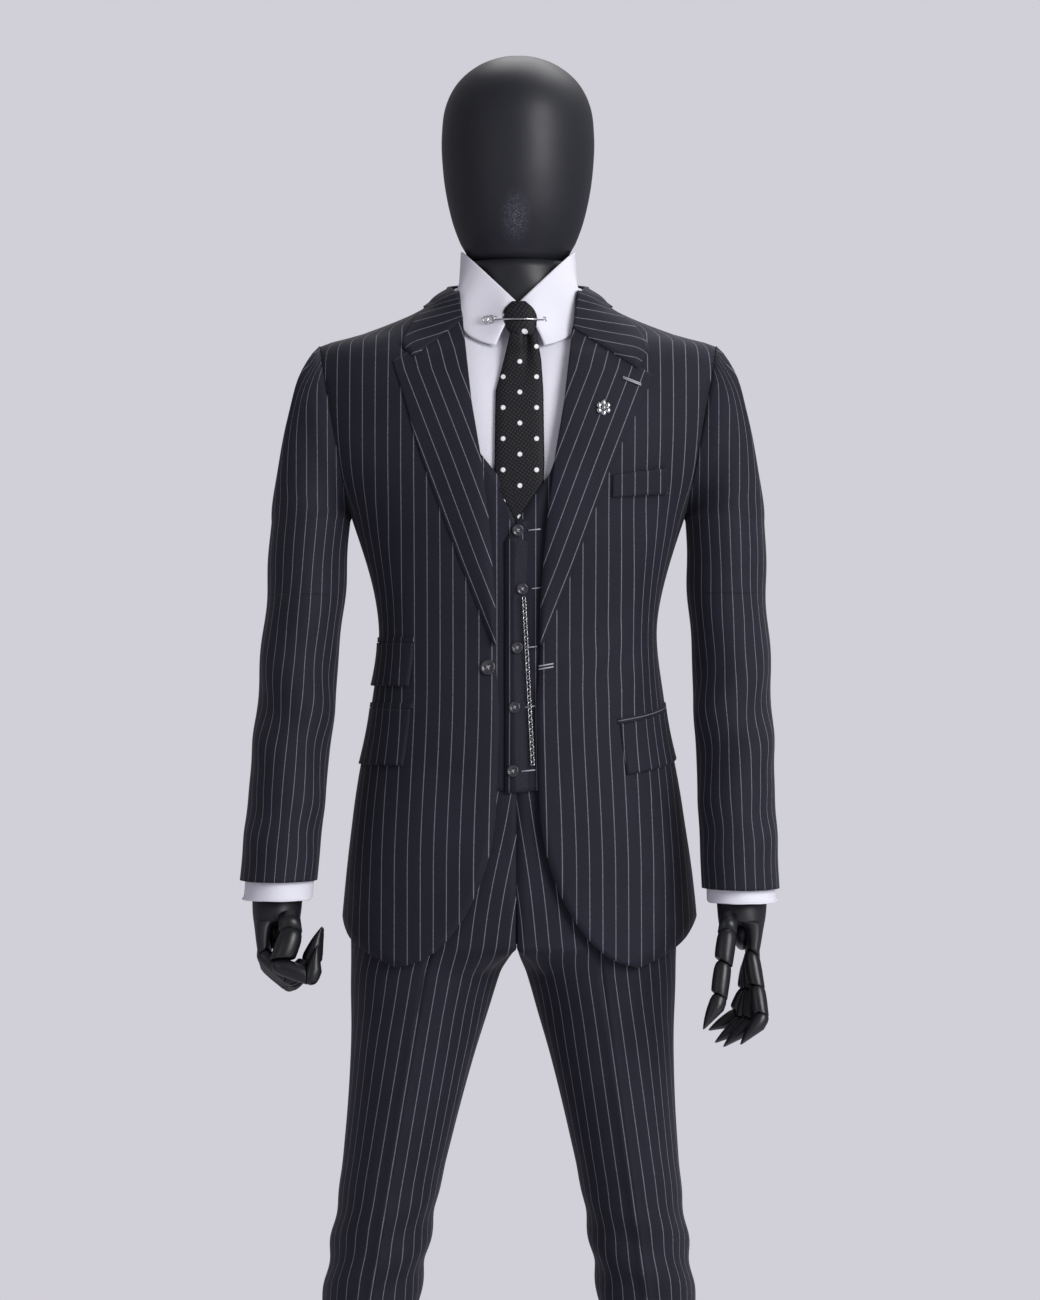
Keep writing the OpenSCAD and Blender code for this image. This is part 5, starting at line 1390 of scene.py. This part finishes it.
for side, word in ((1, "left"), (-1, "right")):
    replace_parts(makePalm(word + "PalmShell", side), word + "_palm")
    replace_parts(makeThumbMount(word + "ThumbMount", side), word + "_palm")
    for i in range(5):
        if i < 4:
            stem, parts = hand["fingers"][i], ("near", "middle", "tip")
            lengths = [n * hand["scale"][i] for n in hand["lengths"]]
            root = Vector((0, (i - 1.5) * hand["pitch"], 0))
            radii = [hand["finger"]] * 3
        else:
            stem, parts = "thumb", ("base", "middle", "tip")
            lengths, root = hand["thumb"], hand["root"]
            radii = [hand["thumbBase"][side], 0.0098, 0.0096]
        place = handMatrix(side) @ Matrix.Translation(root)
        for k in range(3):
            place = place @ Matrix.Rotation(math.radians(hand["bends"][side][i][k]), 4, "Y")
            node = word + "_" + stem + "_" + parts[k]
            shape = makeTip if k == 2 else makeBarrel
            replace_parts(shape(word + stem.capitalize() + parts[k].capitalize(), place, lengths[k], radii[k], node), node)
            place = place @ Matrix.Translation((0, 0, -lengths[k]))
print("stage: hands")

# collar bar: a bowed steel shank in front of the knot, an openwork end and a plain ring
bar = {"x": 0.001, "z": 1.5628, "reach": 0.030, "ends": -0.0770, "bow": 0.0155, "wire": 0.0011}
barRadius = (bar["reach"] ** 2 + bar["bow"] ** 2) / (2 * bar["bow"])
barTurn = math.asin(bar["reach"] / barRadius)
rings = []
for k in range(29):
    a = mix(-barTurn, barTurn, k / 28)
    middle = Vector((bar["x"] + barRadius * math.sin(a), bar["ends"] - bar["bow"] + barRadius * (1 - math.cos(a)), bar["z"]))
    outwards = Vector((math.sin(a), -math.cos(a), 0))
    rings.append([middle + bar["wire"] * (math.cos(2 * math.pi * j / 10) * outwards + math.sin(2 * math.pi * j / 10)
                                          * Vector((0, 0, 1))) for j in range(10)])
shank = loftPiece("collarBarShank", rings, silver, "body")
ends = bmesh.new()
for x, radius in ((-0.0375, 0.0031), (-0.0315, 0.0044), (-0.0255, 0.0031), (0.0305, 0.0027)):
    addRing(ends, radius, 0.00075, facing((x, bar["ends"] - 0.001, bar["z"] + 0.0006), (0, -1, 0)))
for dx, dz in ((-0.0345, 0.0048), (-0.0285, 0.0048), (-0.0345, -0.0036), (-0.0285, -0.0036), (-0.0410, 0.0006)):
    addBall(ends, 0.0011, Matrix.Translation((dx, bar["ends"] - 0.001, bar["z"] + dz)))
bmesh.ops.recalc_face_normals(ends, faces=ends.faces)
barEnds = finishPiece("collarBarEnds", ends, silver, "body")
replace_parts(shank, "collar_bar")
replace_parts(barEnds, "collar_bar")

# lapel pin: a plain six-petalled flower
pin = {"x": 0.0985, "z": 1.4585, "petal": 0.0031, "ring": 0.0060, "lift": -0.0048}
flower = bmesh.new()
stand = facing(frontPoint(pin["z"], pin["x"], pin["lift"]), frontNormal(pin["z"], pin["x"], 0))
for k in range(6):
    a = math.pi / 3 * k + math.pi / 6
    addBall(flower, pin["petal"], stand @ Matrix.Translation((pin["ring"] * math.cos(a), pin["ring"] * math.sin(a), 0))
            @ Matrix.Diagonal((1, 1, 0.55, 1)))
addBall(flower, 0.0026, stand @ Matrix.Translation((0, 0, 0.0012)))
addRing(flower, 0.0042, 0.0007, stand)
bmesh.ops.recalc_face_normals(flower, faces=flower.faces)
flowerPin = finishPiece("lapelFlowerPin", flower, silver, "body")
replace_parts(flowerPin, "lapel_pin")


# buttons: turned horn with a raised rim, sewn with crossed twist
def makeButton(name, place, normal, size, body, node=None):
    bm = bmesh.new()
    outline = [(0.0, 0.30), (0.45, 0.30), (0.60, 0.34), (0.70, 0.52), (0.84, 0.56), (0.97, 0.42), (1.0, 0.24),
               (0.96, 0.04), (0.80, 0.0), (0.0, 0.0)]
    verts = [bm.verts.new((r * size / 2, 0, h * size * 0.36)) for r, h in outline]
    edges = [bm.edges.new((a, b)) for a, b in zip(verts, verts[1:])]
    bmesh.ops.spin(bm, geom=verts + edges, cent=(0, 0, 0), axis=(0, 0, 1), angle=2 * math.pi, steps=32, use_merge=True)
    bmesh.ops.remove_doubles(bm, verts=bm.verts, dist=0.00002)
    for turn in (0.6, 0.6 + math.pi / 2):
        made = bmesh.ops.create_cone(bm, segments=8, radius1=size * 0.035, radius2=size * 0.035, depth=size * 0.34,
                                     cap_ends=True, matrix=Matrix.Translation((0, 0, size * 0.115))
                                     @ Matrix.Rotation(turn, 4, "Z") @ Matrix.Rotation(math.pi / 2, 4, "X"))["verts"]
        for face in {f for v in made for f in v.link_faces}:
            face.material_index = 1
    bmesh.ops.transform(bm, matrix=facing(place, normal), verts=bm.verts)
    bmesh.ops.recalc_face_normals(bm, faces=bm.faces)
    piece = finishPiece(name, bm, horn, body)
    piece.data.materials.append(stitching)
    if node:
        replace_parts(piece, node)


makeButton("jacketButton", frontPoint(1.160, -0.0346, -0.0002), frontNormal(1.160, -0.0346, 0), 0.018, "body", "buttons")
for k, (x, share) in enumerate(((0.0, 0.625), (0.005, 0.537), (-0.001, 0.448), (-0.004, 0.358), (-0.006, 0.262))):
    makeButton("waistcoatButton" + str(k + 1), frontPoint(bodyZ(share), x, waistcoat["depth"] - 0.0002),
               frontNormal(bodyZ(share), x, waistcoat["depth"]), 0.014, "body", "buttons")
for side, word in ((1, "left"), (-1, "right")):
    for k in range(4):
        along = 1 + (figure["armpit"] - (sleeve["end"][side] + 0.012 + 0.0135 * k)) / (figure["armpit"] - sleeve["end"][side])
        p = sleevePoint(side, along, math.pi * 1.16) - Vector((side * 0.0009, 0.0003, 0))
        makeButton(word + "SleeveButton" + str(k + 1), p, (side * 0.93, 0.36, 0), 0.011, word + "_forearm",
                   word + "_sleeve")


def threadBar(name, start, finish, radius, body="body"):
    # a worked buttonhole: one bar of silk twist
    bm = bmesh.new()
    axis = Vector(finish) - Vector(start)
    bmesh.ops.create_cone(bm, segments=8, radius1=radius, radius2=radius, depth=axis.length, cap_ends=True)
    bmesh.ops.transform(bm, verts=bm.verts, matrix=Matrix.Translation((Vector(start) + Vector(finish)) / 2)
                        @ axis.to_track_quat("Z", "Y").to_matrix().to_4x4())
    return finishPiece(name, bm, stitching, body)


for k, (x, z, reach) in enumerate([(0.012, 1.3177, 0.014), (0.016, 1.2508, 0.011), (0.010, 1.1827, 0.012),
                                    (0.008, 1.1139, 0.012), (0.004, 1.0402, 0.016)]):
    p, q = frontPoint(z, x, waistcoat["depth"] - 0.0006), frontPoint(z + 0.0015, x + reach, waistcoat["depth"] - 0.0006)
    threadBar("waistcoatButtonhole" + str(k + 1), p, q, 0.0008)
for k, dz in enumerate((0.0018, -0.0018)):
    threadBar("jacketButtonhole" + str(k + 1), frontPoint(1.1595 + dz, 0.024, -0.0004),
              frontPoint(1.1625 + dz, 0.041, -0.0004), 0.0009)
    threadBar("lapelButtonhole" + str(k + 1), frontPoint(1.4942 + dz * 0.5, 0.121, -0.0042),
              frontPoint(1.4862 + dz * 0.5, 0.142, -0.0042), 0.0008)
print("stage: fittings")

# floor and backdrop ----------------------------------------------------------------------------------------------

# a wide matt floor; away from the figure it takes the tone of the backdrop, so that no horizon shows, and throws no light
setting = {"paper": "#d9d7e0", "level": 0.92, "wide": 60.0, "near": 0.5, "far": 2.6, "least": 0.45}
paper, paperShader = newMaterial("backdropPaper", setting["paper"], 0.9, specular=0.1)
glow = addNode(paper, "ShaderNodeEmission", {"Color": hexColour(setting["paper"]), "Strength": setting["level"]})
seenDirect = addNode(paper, "ShaderNodeLightPath")
floorPlace = addNode(paper, "ShaderNodeTexCoord")
distance = addNode(paper, "ShaderNodeVectorMath", {"operation": "LENGTH"}, {0: (floorPlace, "Object")})
fade = addNode(paper, "ShaderNodeMapRange", {"From Min": setting["near"], "From Max": setting["far"],
                                             "To Min": setting["least"], "interpolation_type": "SMOOTHSTEP"},
               {"Value": (distance, "Value")})
share = addNode(paper, "ShaderNodeMath", {"operation": "MULTIPLY"}, {0: (seenDirect, "Is Camera Ray"), 1: (fade, 0)})
blended = addNode(paper, "ShaderNodeMixShader", links={0: (share, 0), 1: (paperShader, 0), 2: (glow, 0)})
paper.node_tree.links.new(blended.outputs[0], paper.node_tree.nodes["Material Output"].inputs["Surface"])
floorMesh = bmesh.new()
bmesh.ops.create_grid(floorMesh, x_segments=1, y_segments=1, size=setting["wide"] / 2)
floor = finishPiece("studioFloor", floorMesh, paper, None)

world = bpy.data.worlds.new("studio")
bpy.context.scene.world = world
world.use_nodes = True
sky = world.node_tree
sky.nodes.clear()
output = sky.nodes.new("ShaderNodeOutputWorld")
seen = sky.nodes.new("ShaderNodeBackground")
seen.inputs["Color"].default_value = hexColour(setting["paper"])
seen.inputs["Strength"].default_value = setting["level"]
lit = sky.nodes.new("ShaderNodeBackground")
lit.inputs["Color"].default_value = hexColour("#dcdce4")
lit.inputs["Strength"].default_value = 0.35
rays = sky.nodes.new("ShaderNodeLightPath")
either = sky.nodes.new("ShaderNodeMath")
either.operation = "MAXIMUM"
sky.links.new(rays.outputs["Is Camera Ray"], either.inputs[0])
sky.links.new(rays.outputs["Is Transmission Ray"], either.inputs[1])
chosen = sky.nodes.new("ShaderNodeMixShader")
sky.links.new(either.outputs[0], chosen.inputs[0])
sky.links.new(lit.outputs[0], chosen.inputs[1])
sky.links.new(seen.outputs[0], chosen.inputs[2])
sky.links.new(chosen.outputs[0], output.inputs[0])
print("stage: setting")
